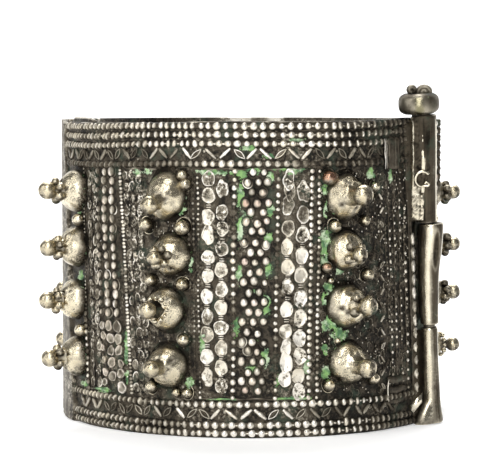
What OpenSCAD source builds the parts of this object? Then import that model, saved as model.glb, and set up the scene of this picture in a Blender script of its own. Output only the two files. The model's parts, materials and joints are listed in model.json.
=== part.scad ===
// Wide silver bangle of two hinged halves, closed by a removable pin.
// Millimetres. It stands on its lower rim, with the wrist opening along Z.
// Angles round the band count from the front (-Y) towards +X.

/* [Band] */
// Outside diameter over the bead borders
outer_d = 60; // [57:0.5:64]
// Height of the band
band_h = 46.9; // [46.9:0.1:48]
// Thickness of the wall, borders included
wall_t = 2.6; // [2.4:0.1:3]
// Depth of the dark ground between the raised borders and wires
ground_depth = 0.65; // [0.4:0.05:0.8]
// Radius of the beads in the border rows
border_bead_r = 0.58; // [0.4:0.02:0.64]
// Radius of the upright wires that divide the panels
panel_wire_r = 0.45; // [0.3:0.05:0.6]
// Gap between the edges of the two halves at the clasp
seam_gap = 0.5; // [0.4:0.1:0.8]

/* [Studs] */
// Radius of a domed stud
stud_r = 3.05; // [2.6:0.05:3.2]
// Radius of the ball on the tip of a stud
tip_ball_r = 1.35; // [1:0.05:1.5]
// Distance of the tip ball's centre from the band's surface
tip_ball_out = 5.2; // [4.5:0.05:5.3]
// Radius of the ring of small balls round the neck of a stud, to the ball centres
neck_ring_r = 1.5; // [1.2:0.05:1.8]
// Radius of the small balls in that ring
neck_ball_r = 0.75; // [0.5:0.05:0.9]

/* [Clasp] */
// Angle round the band where the clasp pin passes mid height
clasp_az = 61.2; // [60:0.1:63]
// Distance of the clasp pin from the axis of the band, at mid height
clasp_r = 31.2; // [31:0.1:31.6]
// Lean of the clasp pin along the band, top towards the front
clasp_lean = 4.2; // [3.5:0.1:4.6]
// Radius of the clasp pin
clasp_pin_r = 0.85; // [0.7:0.05:0.95]
// Radius of the upper knuckle
upper_knuckle_r = 1.95; // [1.8:0.05:2]
// Radius of the middle knuckle at its top
middle_knuckle_r = 1.85; // [1.6:0.05:1.9]
// Radius of the lower knuckle at its flared foot
lower_knuckle_r = 2.25; // [2:0.05:2.3]
// Radius of the thick rounded collar on the pin
collar_r = 3.15; // [2.8:0.05:3.3]
// Height of the collar
collar_h = 3.35; // [2.8:0.05:3.5]
// Thickness of the wire of the small open ring on the upper knuckle
ring_wire_d = 0.7; // [0.5:0.05:0.8]

/* [Hinge] */
// Angle round the band of the hinge pin
hinge_az = -94; // [-96:0.5:-92]
// Outside radius of the hinge knuckles
hinge_knuckle_r = 1.45; // [1.4:0.05:1.5]
// Radius of the hinge pin
hinge_pin_r = 0.6; // [0.5:0.05:0.7]

/* [Hidden] */
$fn = 64;

outer_r = outer_d / 2;
inner_r = outer_r - wall_t;
ground_r = outer_r - ground_depth;
border_bead_line = outer_r - border_bead_r;
panel_wire_line = outer_r - panel_wire_r;

// Heights of the bead rows: three at the foot, four at the top
border_rows = [0.66, 1.95, 5.0, 40.6, 43.5, 44.8, band_h - 0.85];
panel_foot = 5.8;
panel_top = 39.8;

// Plain strip of the front half beside the hinge: angles of its edge at the top and at the foot
strip_edge_top = -76;
strip_edge_foot = -66;
strip_groove = 1.2;
strip_inset = 0.3;

// Angle of the strip's edge at a height
function strip_edge(z) = strip_edge_foot + (strip_edge_top - strip_edge_foot) * z / band_h;

// Upright wires: angle at the top, angle at the foot
front_wires = [
    [-59.5, -57], [-54, -52], [-40.4, -36.3], [-17.2, -15.2], [-5.6, -3.8],
    [8.2, 6.2], [17.6, 16.4], [41.5, 41.5], [52.2, 56.4]
];
back_wires = [
    [77, 77], [92, 92], [116, 116], [122, 122], [134, 134], [140, 140], [163, 163], [169, 169],
    [181, 181], [187, 187], [210, 210], [216, 216], [228, 228], [234, 234], [256, 256]
];

// Studs: angle, height, drop of the tip ball
front_studs = [
    [-64, 36.0, 0], [-64, 27.4, 0], [-64.5, 19.2, 0], [-63.5, 10.4, 0],
    [-25.1, 36.0, 1.2], [-23.8, 27.3, 0], [-25, 19.1, 0], [-24, 10.6, 0],
    [28.6, 35.8, 0], [28, 27.8, 0.4], [29, 19.4, -0.4], [29.6, 10.9, 0]
];
back_stud_columns = [105, 152, 199, 245];
back_stud_heights = [34.9, 26.4, 18.4, 9.9];

// Loose balls between the studs: angle, height, radius
front_balls = [
    [-61.4, 31.6, 0.95], [-60, 14.6, 0.95],
    [-30.1, 31.4, 1.05], [-19.4, 31.1, 1.0], [-28.9, 23.2, 0.9], [-19.9, 22.8, 1.05],
    [-18.8, 14.5, 0.85], [-19.1, 38.4, 0.95], [-28.9, 7.1, 0.95], [-22.1, 6.7, 0.85],
    [22.6, 38.5, 1.2], [34.9, 31.6, 1.1], [25.1, 31.4, 0.85], [37.8, 36.7, 0.9],
    [22.4, 24.9, 1.05], [35.6, 23.6, 1.05], [22.9, 7.3, 0.95], [37.6, 7.8, 1.0]
];
ball_sink = 0.25;
// How far the neck of a stud reaches into its tip ball
neck_overlap = 0.2;
back_ball_r = 1;
back_ball_side = 5.3;

// Clasp: heights where each knuckle starts and ends
lower_span = [0.25, 15.0];
middle_span = [15.6, 31.1];
upper_span = [31.35, 47.6];
lower_neck_r = 1.45;
middle_neck_r = 1.5;
clasp_bore_r = clasp_pin_r + 0.06;
clasp_relief = 0.3;
leaf_w = 2.5;
leaf_out = 1.0;
slot_play = 0.2;
collar_shift = 0.45;
collar_bore_r = clasp_pin_r + collar_shift + 0.1;
collar_round = 1.25;
collar_lift = 0.1;
// Eye on the pin's top: a loop of wire, and the wire's end curled up beside it
eye_r = 0.66;
eye_wire_r = 0.42;
eye_shift = -0.2;
eye_rise = 0.25;
curl_r = 0.66;
curl_shift = -1.7;
curl_rise = 0.75;
chain_ring_r = 1.1;
chain_ring_z = 38.2;

// Hinge: heights of the joints between its five knuckles
hinge_joints = [0, 11, 19.3, 27.6, 35.9, band_h];
hinge_line_r = outer_r + 0.35 - hinge_knuckle_r;
hinge_bore_r = hinge_pin_r + 0.05;
hinge_relief_r = hinge_knuckle_r + 0.3;
hinge_play = 0.12;
hinge_pin_inset = 0.3;

// Angle that a wall runs on past the seam before it is cut there
spare_az = 8;

// Larger than any size here, for cutting
far = 100;
cut = 1;

// Direction, in the clasp's own frame, in which the middle knuckle leaves the pin
clasp_point = [clasp_r * sin(clasp_az), -clasp_r * cos(clasp_az)];
hinge_point = [hinge_line_r * sin(hinge_az), -hinge_line_r * cos(hinge_az)];
swing_dir = atan2(clasp_point[1] - hinge_point[1], clasp_point[0] - hinge_point[0]) + 90;
slot_turn = swing_dir - clasp_az;

// Places children on the outside of the band, with local Z pointing outwards
module on_band(az, z, r) {
    rotate([0, 0, az])
        translate([0, -r, z])
            rotate([90, 0, 0])
                children();
}

// Places children in the clasp's leaning frame, local Z along the pin, local -Y outwards
module clasp_frame() {
    rotate([0, 0, clasp_az])
        translate([0, -clasp_r, band_h / 2])
            rotate([0, -clasp_lean, 0])
                children();
}

// Height above the base turned into a length along the clasp pin
function along(z) = (z - band_h / 2) / cos(clasp_lean);

module hinge_frame() {
    rotate([0, 0, hinge_az])
        translate([0, -hinge_line_r, 0])
            children();
}

module stud(az, z, drop) {
    on_band(az, z, ground_r) {
        rotate_extrude()
            intersection() {
                union() {
                    circle(r = stud_r);
                    translate([neck_ring_r, tip_ball_out - tip_ball_r - 0.1])
                        circle(r = neck_ball_r);
                    translate([0, -cut])
                        square([neck_ring_r, tip_ball_out + cut - tip_ball_r + neck_overlap]);
                }
                translate([0, -cut])
                    square([far, far]);
            }
        translate([0, -drop, tip_ball_out])
            sphere(r = tip_ball_r);
    }
}

module ball(az, z, r) {
    on_band(az, z, ground_r + r - ball_sink)
        sphere(r = r);
}

// An upright wire between two angles, sunk to half its thickness in the ground
module wire(az_top, az_foot) {
    az = (az_top + az_foot) / 2;
    h = panel_top - panel_foot;
    lean = atan((az_foot - az_top) * PI / 180 * outer_r / h);
    rotate([0, 0, az])
        translate([0, -panel_wire_line, (panel_top + panel_foot) / 2])
            rotate([0, -lean, 0])
                cylinder(r = panel_wire_r, h = h / cos(lean), center = true);
}

// Stretch of the plain wall between two angles, its bore still to be cut
module wall(az_start, az_end) {
    rotate([0, 0, az_start - 90])
        rotate_extrude(angle = az_end - az_start)
            translate([inner_r - cut, 0])
                square([ground_r - inner_r + cut, band_h]);
}

// Half-round ridge in the place of a row of beads
module bead_row(z, az_start, az_end) {
    rotate([0, 0, az_start - 90])
        rotate_extrude(angle = az_end - az_start)
            translate([border_bead_line, z])
                circle(r = border_bead_r);
}

module bore() {
    translate([0, 0, -cut])
        cylinder(r = inner_r, h = band_h + 2 * cut, $fn = 128);
}

// Knuckle of the clasp between two heights, with a leaf on the side given
module clasp_knuckle(span, r_foot, r_top, side) {
    clasp_frame() {
        translate([0, 0, along(span[0])])
            cylinder(r1 = r_foot, r2 = r_top, h = along(span[1]) - along(span[0]));
        translate([side > 0 ? 0 : -leaf_w, -0.2, along(span[0]) + 0.3])
            cube([leaf_w, leaf_out + 1.2, along(span[1]) - along(span[0]) - 0.6]);
    }
}

module clasp_room(span, r) {
    clasp_frame()
        translate([0, 0, along(span[0]) - clasp_relief])
            cylinder(r = r + clasp_relief, h = along(span[1]) - along(span[0]) + 2 * clasp_relief);
}

module clasp_bore() {
    clasp_frame()
        cylinder(r = clasp_bore_r, h = far, center = true);
}

// Everything past the seam at the clasp, on the side given
module beyond_seam(side) {
    clasp_frame()
        translate([side > 0 ? -seam_gap / 2 : seam_gap / 2 - far, -far / 2, -far / 2])
            cube(far);
}

module hinge_knuckle(i) {
    foot = hinge_joints[i] + (i > 0 ? hinge_play : 0);
    top = hinge_joints[i + 1] - (i < 4 ? hinge_play : 0);
    hinge_frame()
        translate([0, 0, foot])
            cylinder(r = hinge_knuckle_r, h = top - foot);
}

module hinge_room(i) {
    foot = hinge_joints[i] - (i > 0 ? hinge_play : cut);
    top = hinge_joints[i + 1] + (i < 4 ? hinge_play : cut);
    hinge_frame()
        translate([0, 0, foot])
            cylinder(r = hinge_relief_r, h = top - foot);
}

module hinge_bore() {
    hinge_frame()
        translate([0, 0, -cut])
            cylinder(r = hinge_bore_r, h = band_h + 2 * cut);
}

// Small open ring lying on the upper knuckle
module chain_ring() {
    clasp_frame()
        translate([0, -upper_knuckle_r - ring_wire_d / 4, along(chain_ring_z)])
            rotate([90, 0, clasp_az / 3])
                rotate([0, 0, -20])
                    rotate_extrude(angle = 290)
                        translate([chain_ring_r, 0])
                            circle(d = ring_wire_d);
}

// Plain strip beside the hinge, leaning with the panel's edge
module plain_strip() {
    az = (strip_edge_top + strip_edge_foot) / 2;
    lean = atan((strip_edge_foot - strip_edge_top) * PI / 180 * outer_r / band_h);
    intersection() {
        rotate([0, 0, hinge_az - 90])
            rotate_extrude(angle = 40)
                translate([ground_r - strip_inset, strip_inset])
                    square([ground_depth + strip_inset, band_h - 2 * strip_inset]);
        rotate([0, 0, az])
            translate([0, -outer_r, band_h / 2])
                rotate([0, -lean, 0])
                    translate([-far, -far / 2, -far / 2])
                        cube(far);
    }
}

module front_half() {
    color("silver")
        difference() {
            union() {
                difference() {
                    union() {
                        wall(hinge_az, clasp_az + spare_az);
                        plain_strip();
                        for (z = border_rows)
                            bead_row(z, strip_edge(z) + strip_groove, clasp_az + spare_az);
                        for (w = front_wires)
                            wire(w[0], w[1]);
                        for (s = front_studs)
                            stud(s[0], s[1], s[2]);
                        for (b = front_balls)
                            ball(b[0], b[1], b[2]);
                    }
                    beyond_seam(1);
                    clasp_room(middle_span, middle_knuckle_r);
                    for (i = [0, 2, 4])
                        hinge_room(i);
                }
                clasp_knuckle(lower_span, lower_knuckle_r, lower_neck_r, -1);
                clasp_knuckle(upper_span, upper_knuckle_r, upper_knuckle_r, -1);
                chain_ring();
                for (i = [1, 3])
                    hinge_knuckle(i);
            }
            bore();
            clasp_bore();
            hinge_bore();
        }
}

module back_half() {
    color("silver")
        difference() {
            union() {
                difference() {
                    union() {
                        wall(clasp_az - spare_az, hinge_az + 360);
                        for (z = border_rows)
                            bead_row(z, clasp_az - spare_az, hinge_az + 360);
                        for (w = back_wires)
                            wire(w[0], w[1]);
                        for (az = back_stud_columns)
                            for (z = back_stud_heights)
                                stud(az, z, 0);
                        for (az = back_stud_columns, i = [0:2], side = [-1, 1])
                            ball(
                                az + side * back_ball_side,
                                (back_stud_heights[i] + back_stud_heights[i + 1]) / 2,
                                back_ball_r
                            );
                    }
                    beyond_seam(-1);
                    clasp_room(lower_span, lower_knuckle_r);
                    clasp_room(upper_span, upper_knuckle_r);
                    for (i = [1, 3])
                        hinge_room(i);
                }
                clasp_knuckle(middle_span, middle_neck_r, middle_knuckle_r, 1);
                for (i = [0, 2, 4])
                    hinge_knuckle(i);
            }
            bore();
            clasp_bore();
            clasp_slot();
            hinge_bore();
        }
}

// Way out of the middle knuckle for the pin, when the band opens
module clasp_slot() {
    w = 2 * (clasp_bore_r + slot_play);
    clasp_frame()
        rotate([0, 0, slot_turn])
            translate([-far / 2, -w / 2, along(middle_span[0]) - cut])
                cube([far / 2, w, along(middle_span[1]) - along(middle_span[0]) + 2 * cut]);
}

module hinge_pin() {
    color("gray")
        hinge_frame()
            translate([0, 0, hinge_pin_inset])
                cylinder(r = hinge_pin_r, h = band_h - 2 * hinge_pin_inset);
}

module clasp_pin() {
    foot = along(lower_span[0]) + 0.2;
    top = along(upper_span[1]) + collar_lift + collar_h;
    color("dimgray")
        clasp_frame() {
            translate([0, 0, foot])
                cylinder(r = clasp_pin_r, h = top - foot);
            translate([eye_shift, 0, top + eye_rise])
                rotate([90, 0, 0])
                    rotate_extrude()
                        translate([eye_r, 0])
                            circle(r = eye_wire_r);
            translate([curl_shift, 0, top + curl_rise])
                sphere(r = curl_r);
        }
}

module pin_collar() {
    color("silver")
        clasp_frame()
            translate([-collar_shift, 0, along(upper_span[1]) + collar_lift])
                difference() {
                    rotate_extrude() {
                        square([collar_r - collar_round, collar_h]);
                        translate([0, collar_round])
                            square([collar_r, collar_h - 2 * collar_round]);
                        for (z = [collar_round, collar_h - collar_round])
                            translate([collar_r - collar_round, z])
                                circle(r = collar_round);
                    }
                    translate([0, 0, -1])
                        cylinder(r = collar_bore_r, h = collar_h + 2);
                }
}

front_half();
back_half();
hinge_pin();
clasp_pin();
pin_collar();
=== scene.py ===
import json
import math

import bmesh
import bpy
import numpy as np
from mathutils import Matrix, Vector


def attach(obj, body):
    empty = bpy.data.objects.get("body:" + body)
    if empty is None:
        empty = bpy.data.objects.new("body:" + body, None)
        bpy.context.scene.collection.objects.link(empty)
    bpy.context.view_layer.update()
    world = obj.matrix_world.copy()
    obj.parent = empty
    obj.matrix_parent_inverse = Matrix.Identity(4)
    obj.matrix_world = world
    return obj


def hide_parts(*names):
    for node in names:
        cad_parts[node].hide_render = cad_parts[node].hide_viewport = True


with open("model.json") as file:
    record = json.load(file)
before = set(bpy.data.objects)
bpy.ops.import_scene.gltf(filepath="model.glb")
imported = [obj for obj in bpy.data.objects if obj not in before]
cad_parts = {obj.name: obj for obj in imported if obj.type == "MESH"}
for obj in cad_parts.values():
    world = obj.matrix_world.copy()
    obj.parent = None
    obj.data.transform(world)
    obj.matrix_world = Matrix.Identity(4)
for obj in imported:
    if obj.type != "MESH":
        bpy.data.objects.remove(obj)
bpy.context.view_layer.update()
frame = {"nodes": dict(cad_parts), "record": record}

# Sizes of the band in millimetres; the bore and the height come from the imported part's mount
MM = 0.001
WRIST = {mount["name"]: mount for mount in frame["record"]["mounts"]}["wrist_bore"]["dims"]
INNER_R = WRIST["r_mm"]
BAND_H = WRIST["length_mm"]
WALL_T = 2.6
OUTER_R = INNER_R + WALL_T
GROUND_DEPTH = 0.65
GROUND_R = OUTER_R - GROUND_DEPTH
ARC_DEG = 180 / (math.pi * OUTER_R)

# Clasp pin: angle round the band and distance from its axis at mid height, and its lean
CLASP_AZ = 61.2
CLASP_R = 31.2
CLASP_LEAN = 4.2
# Heights where each knuckle of the clasp starts and ends, and their bore; then the collar's foot, radius,
# height and shift
LOWER_SPAN = (0.25, 15.0)
MIDDLE_SPAN = (15.6, 31.1)
UPPER_SPAN = (31.35, 47.72)
TUBE_BORE_R = 0.95
COLLAR_FOOT = 47.87
COLLAR_R = 3.12
COLLAR_H = 3.18
COLLAR_SHIFT = 0.45

# Hinge: its place round the band, its knuckles' radius and bore, the heights where they meet, and their play
HINGE_AZ = -94.0
HINGE_R = 28.9
HINGE_KNUCKLE_R = 1.45
HINGE_BORE_R = 0.66
HINGE_JOINTS = [0, 11, 19.3, 27.6, 35.9, BAND_H]
HINGE_PLAY = 0.12
HINGE_RIM_PLAY = 0.05

# The wall's edges beside the hinge and the clasp, in degrees from their lines
HINGE_EDGE = 3.5
SEAM_EDGE = 0.45

# Borders: heights of the bead rows, the beads' pitch and radius, how many degrees before the clasp the
# front's rows end, and the heights between which the two zigzags lie
BEAD_ROWS = [0.76, 1.95, 5.0, 40.6, 43.55, 44.88, 46.15]
BEAD_PITCH = 1.4
BEAD_R = 0.53
FRONT_ROW_END = 4.6
LOW_ZIGZAG = (2.9, 4.3)
HIGH_ZIGZAG = (41.4, 42.85)
# Heights between which the panels lie
PANEL_TOP = 39.4
PANEL_FOOT = 6.0

# Green residue on the front: angle in degrees, then height, half width and half height in mm
RESIDUE = [
    (-2.6, 39.2, 1.4, 0.8), (1.4, 39.6, 1.6, 0.5), (5.6, 38.4, 0.7, 1.4), (-2.6, 35.8, 0.7, 2.4),
    (5.9, 34.0, 0.8, 1.5), (-2.8, 31.0, 0.6, 2.2), (5.4, 29.6, 0.8, 1.1), (-0.6, 32.9, 1.2, 0.5),
    (5.2, 25.2, 0.6, 1.6), (-3.2, 24.4, 0.6, 1.8), (4.8, 19.8, 0.7, 2.0), (-4.0, 16.6, 0.6, 1.8),
    (4.3, 12.0, 0.7, 1.6), (0.6, 10.4, 1.4, 0.5), (-10.2, 39.4, 3.4, 0.45), (12.0, 39.5, 2.2, 0.45),
    (22.0, 36.6, 0.6, 1.0), (22.4, 28.8, 1.1, 2.6), (27.0, 24.6, 0.9, 0.7), (23.5, 22.3, 1.1, 1.0),
    (24.3, 16.9, 1.6, 1.3), (27.0, 15.1, 1.8, 1.0), (22.6, 9.4, 0.8, 1.3), (22.3, 13.0, 0.6, 1.0),
    (38.0, 39.0, 1.0, 1.0), (46.0, 38.6, 0.5, 1.6), (-62.9, 32.6, 0.9, 1.1), (-62.7, 29.2, 1.5, 0.9),
    (-62.5, 22.9, 1.3, 1.0), (-60.0, 6.2, 1.8, 0.6), (-50.0, 5.9, 2.2, 0.5), (-39.3, 12.8, 0.5, 3.2),
    (-38.9, 8.4, 0.5, 1.2), (-34.8, 39.2, 1.0, 0.5), (-20.2, 33.6, 1.0, 0.6), (-31.0, 39.3, 0.8, 0.5),
    (-17.4, 26.0, 0.5, 1.6), (-13.8, 14.0, 0.5, 2.4), (16.6, 10.6, 0.5, 1.6), (12.0, 39.8, 3.0, 0.2),
    (14.0, 5.9, 3.4, 0.25), (-8.0, 5.8, 2.4, 0.22), (22.2, 26.2, 0.7, 1.2), (21.9, 20.6, 0.5, 1.2),
    (22.4, 33.6, 0.35, 1.4), (22.0, 16.0, 0.5, 0.9), (1.0, 21.8, 0.7, 0.4), (2.0, 14.6, 0.6, 0.4),
    (0.4, 27.4, 0.5, 0.5), (7.9, 8.4, 0.5, 1.2), (13.2, 44.1, 1.6, 0.3), (-0.6, 43.0, 1.6, 0.5),
    (5.4, 41.8, 1.4, 0.4), (-18.0, 8.2, 0.8, 1.0),
]

# Domed studs of the front: angle, height, half width and half height of the dome, radius of the tip ball,
# how far the tip leans round the band and up, in mm, and the number of small balls round its neck, where
# 0 is a smooth neck and -1 a crater
FRONT_STUDS = [
    (-64.0, 36.0, 3.2, 3.3, 1.42, 0.0, 0.15, 6), (-64.0, 27.4, 3.1, 3.2, 1.35, 0.2, -0.1, 6),
    (-64.5, 19.2, 3.1, 3.2, 1.35, 0.1, 0.0, 6), (-63.5, 10.4, 3.0, 3.2, 1.35, 0.3, -0.1, 5),
    (-24.4, 36.0, 3.1, 3.55, 1.36, -0.5, -1.3, 0), (-22.9, 27.2, 3.0, 3.1, 1.05, -0.7, -0.3, 6),
    (-24.7, 19.1, 3.0, 3.25, 1.3, -0.7, 0.1, -1), (-23.9, 10.6, 3.0, 3.2, 1.32, -0.5, 0.0, 0),
    (28.1, 35.6, 3.05, 3.45, 1.6, 0.3, 0.5, 0), (28.5, 27.7, 2.95, 3.0, 1.15, -0.4, -0.4, 4),
    (28.6, 19.4, 3.2, 3.2, 1.45, 1.0, 0.3, 4), (29.2, 10.9, 3.05, 3.15, 1.45, 0.5, -0.4, 0),
]
# Loose balls of the front: angle, height, radius, and how coppery
FRONT_BALLS = [
    (-61.4, 31.6, 1.0, 0.0), (-60.0, 14.6, 1.0, 0.0), (-31.0, 31.4, 1.05, 0.0), (-19.4, 31.2, 1.15, 0.0),
    (-29.6, 23.2, 0.9, 0.0), (-19.6, 22.8, 0.95, 0.0), (-19.2, 14.5, 0.95, 0.0), (-19.6, 38.9, 0.85, 0.0),
    (-18.6, 37.6, 0.95, 0.0), (-29.4, 7.3, 0.95, 0.0), (-21.6, 6.6, 0.7, 0.0), (-18.2, 6.6, 0.8, 0.0),
    (22.8, 38.5, 1.12, 1.0), (24.5, 38.6, 0.8, 0.5), (38.8, 37.0, 0.78, 0.0), (24.9, 31.3, 0.95, 0.0),
    (35.1, 32.0, 0.8, 0.0), (22.4, 25.2, 0.78, 0.9), (36.0, 23.9, 0.95, 0.0), (23.9, 23.2, 0.5, 0.0),
    (26.2, 14.2, 0.5, 0.0), (23.1, 7.7, 0.9, 0.0), (38.2, 8.2, 0.95, 0.1),
]
# How far off the ground a stud's dome, the balls round its neck and the middle of its tip ball are
STUD_OUT = 3.18
NECK_OUT = 3.7
TIP_OUT = 5.2

# Upright bead wires of the front: angles at the top and the foot, heights of the top and the foot, pitch,
# bead radius, seed, brightness, how much wider than tall the beads are, and how much the brightness varies
HINGE_SIDE_WIRES = [
    (-59.8, -58.6, 39.5, 18, 0.62, 0.2, 901, 0.6, 1.0, 0.5),
    (-58.6, -57.0, 17.2, 5.8, 0.96, 0.42, 902, 1.1, 1.0, 0.5),
    (-41.3, -37.0, 39.5, 6, 0.55, 0.27, 909, 1.1, 1.4, 0.25),
    (-18.0, -17.4, 39.3, 6, 0.75, 0.22, 915, 0.4, 1.0, 0.5),
    (-16.6, -16.0, 39.3, 6, 0.75, 0.22, 916, 0.5, 1.0, 0.5),
    (-15.2, -14.6, 39.3, 6, 0.75, 0.22, 917, 0.85, 1.0, 0.5),
    (-4.5, -4.9, 39.5, 6, 1.2, 0.44, 919, 1.1, 1.0, 0.5),
    (8.1, 7.1, 39.5, 6, 1.12, 0.4, 923, 0.95, 1.0, 0.5),
    (18.1, 17.0, 39.5, 6, 0.98, 0.44, 927, 1.3, 1.0, 0.2),
    (20.4, 19.5, 39.5, 6, 0.92, 0.36, 929, 1.15, 1.0, 0.3),
]
CLASP_SIDE_WIRES = [
    (45.0, 47.6, 36.0, 6, 1.15, 0.26, 940, 0.85, 0.85, 0.5),
    (47.2, 49.8, 36.0, 6, 1.15, 0.26, 941, 0.85, 0.85, 0.5),
    (49.8, 52.4, 36.0, 6, 1.15, 0.26, 942, 0.85, 0.85, 0.5),
    (52.5, 55.3, 33.5, 6, 1.38, 0.32, 945, 1.2, 1.0, 0.5),
    (43.9, 46.5, 30, 12, 0.9, 0.2, 946, 0.6, 1.0, 0.5),
]
# Ground that bits of curled wire cover: angles of its sides, and how many bits
CHAFF_GROUND = [
    (-62.5, -60.5, 14), (-58, -50, 30), (-40, -31, 40), (-31, -18.5, 110), (20.5, 43, 320), (43, 56, 110),
]
# Thin wires along the panels' ends: height, and angles of their ends
END_WIRES = [(39.85, -16, 19), (5.85, -16, 19), (5.9, -56, -44), (39.8, -40, -28)]
# Columns of outlined ovals: angles at the top and the foot, pitch, half width, half height, seed, brightness
OVAL_COLUMNS = [
    (-56.6, -54.6, 1.5, 0.5, 0.75, 903, 0.5), (-53.9, -51.0, 1.9, 0.55, 0.9, 905, 0.6),
    (-39.4, -35.4, 1.6, 0.52, 0.75, 911, 0.5), (-37.0, -33.2, 1.6, 0.52, 0.75, 912, 0.5),
    (-34.4, -31.2, 1.6, 0.52, 0.75, 913, 0.5),
]
# Columns of oval granules near the hinge: angles at the top and the foot, size, pitch and size of the discs
GRANULE_COLUMNS = [
    (-51.4, -47.8, 0.45, 1.75, 0.55), (-48.2, -44.2, 0.6, 1.9, 0.68), (-44.7, -40.5, 0.62, 1.82, 0.74),
]
# Scratches down the plate beside the upper knuckle: angle, half width and brightness
PLATE_SCRATCHES = [
    (42.9, 0.1, 1.0), (43.5, 0.05, 0.7), (44.5, 0.04, 0.4),
    (45.9, 0.04, 0.3), (47.3, 0.05, 0.4), (48.7, 0.06, 0.3),
]

# The four columns of flat discs beside the middle panel: heights of the discs, and how bright their faces are
FIRST_DISCS = (38.5, 36.0, 32.8, 30.1, 27.0, 24.2, 21.1, 18.1, 15.3, 12.2, 9.1)
SECOND_DISCS = (36.9, 33.6, 30.8, 28.0, 25.0, 22.0, 19.4, 16.5, 13.5, 10.5, 7.7)
THIRD_DISCS = (38.2, 36.6, 34.6, 31.1, 28.3, 25.4, 22.5, 19.1, 15.9, 13.4, 11.2, 8.9)
FOURTH_DISCS = (36.5, 33.2, 30.1, 27.1, 24.3, 20.8, 17.8, 14.8, 12.1, 9.3, 6.9)
FIRST_FACES = (0.4, 0.4, 0.75, 0.8, 0.85, 0.7, 0.85, 0.75, 0.6, 0.85, 0.7)
SECOND_FACES = (0.9, 0.45, 0.5, 0.5, 0.75, 0.6, 0.7, 0.55, 0.75, 0.65, 0.7)
RIGHT_FACES = (0.35,) * 4 + (1.1, 0.9, 1.15, 0.9) * 2

# Angles of the back's panels, bead wires and columns of studs; the studs' heights and balls, from the top
BACK_PANELS = (78.5, 128.5, 175.5, 222)
BACK_BEAD_WIRES = (66.5, 68.5, 88.5, 91, 93.5, 256, 258.5, 261)
BACK_STUD_COLUMNS = [105, 152, 199, 245]
BACK_STUD_HEIGHTS = [34.9, 26.4, 18.4, 9.9]
BACK_STUD_BALLS = (6, 5, 6, -1)

rng = np.random.default_rng


def smooth(x, low, high):
    """0 below low, 1 above high, and an even curve between them."""
    t = np.clip((np.asarray(x, float) - low) / (high - low), 0, 1)
    return t * t * (3 - 2 * t)


def bell(x, middle, half, power=2):
    """1 at the middle and near 0 past the half width; a higher power gives a flatter top."""
    return np.exp(-(((np.asarray(x, float) - middle) / half) ** power))


def part_way(start, end, t):
    return start + (end - start) * t


def turns(n):
    """Angles evenly round a circle, in radians."""
    return np.linspace(0, math.tau, n, endpoint=False)


def unit(vectors):
    return vectors / (np.linalg.norm(vectors, axis=-1, keepdims=True) + 1e-9)


def hand(u, v, scale, seed):
    """Uneven surface of hand work: about -1 to 1 over u and v in mm, with bumps of the scale given."""
    r = rng(seed)
    total = np.zeros(np.broadcast(u, v).shape)
    for k in range(7):
        angle, phase, size = r.uniform(0, math.tau), r.uniform(0, math.tau), r.uniform(0.7, 1.6)
        total += np.sin((u * math.cos(angle) + v * math.sin(angle)) * math.tau / (scale * size) + phase)
    return total / 3.5


def outward(az):
    """Unit vectors straight out from the band's axis at angles round it; 90 degrees on, they run along it."""
    a = np.radians(az)
    return np.stack([np.sin(a), -np.cos(a), 0 * a], -1)


UP = np.array([0, 0, 1])
LEAN = math.radians(CLASP_LEAN)
PIN_OUT = outward(CLASP_AZ)
PIN_AXIS = UP * math.cos(LEAN) - outward(CLASP_AZ + 90) * math.sin(LEAN)
PIN_SIDE = outward(CLASP_AZ + 90) * math.cos(LEAN) + UP * math.sin(LEAN)


def clasp_az(z):
    """Angle round the band of the leaning clasp line at a height."""
    return CLASP_AZ - np.degrees((z - BAND_H / 2) * math.tan(LEAN) / CLASP_R)


def on_band(az, z, lift):
    """Points at angles round the band, heights, and lifts off its dark ground, in mm."""
    az, z, lift = np.broadcast_arrays(np.asarray(az, float), z, lift)
    return outward(az) * (GROUND_R + lift)[..., None] + UP * z[..., None]


def at_clasp(side, out, z):
    """Points in the clasp's leaning frame: beside the pin, outwards, and at a height, in mm."""
    side, out, z = (value[..., None] for value in np.broadcast_arrays(np.asarray(side, float), out, z))
    along = (z - BAND_H / 2) / math.cos(LEAN)
    return PIN_OUT * (CLASP_R + out) + UP * BAND_H / 2 + side * PIN_SIDE + along * PIN_AXIS


def before_clasp(right, near, z):
    """Points beside the pin as seen from the front: to the right of it, nearer than it, and at a height."""
    right, near = np.asarray(right, float), np.asarray(near, float)
    cos, sin = math.cos(math.radians(CLASP_AZ)), math.sin(math.radians(CLASP_AZ))
    return at_clasp(right * cos - near * sin, right * sin + near * cos, z)


def residue(az, z):
    """How much green residue lies at an angle and height, from 0 to 1."""
    az, z = np.broadcast_arrays(np.asarray(az, float), z)
    total = np.zeros(az.shape)
    for spot_az, spot_z, half_w, half_h in RESIDUE:
        total = np.maximum(total, bell(az / ARC_DEG, spot_az / ARC_DEG, half_w) * bell(z, spot_z, half_h))
    behind = smooth(np.abs((az + 180) % 360 - 180), 95, 105)
    patches = smooth(hand(az / ARC_DEG, z, 11, 77), 0.55, 1.1)
    return np.maximum(total, behind * patches * 0.8)


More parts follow.
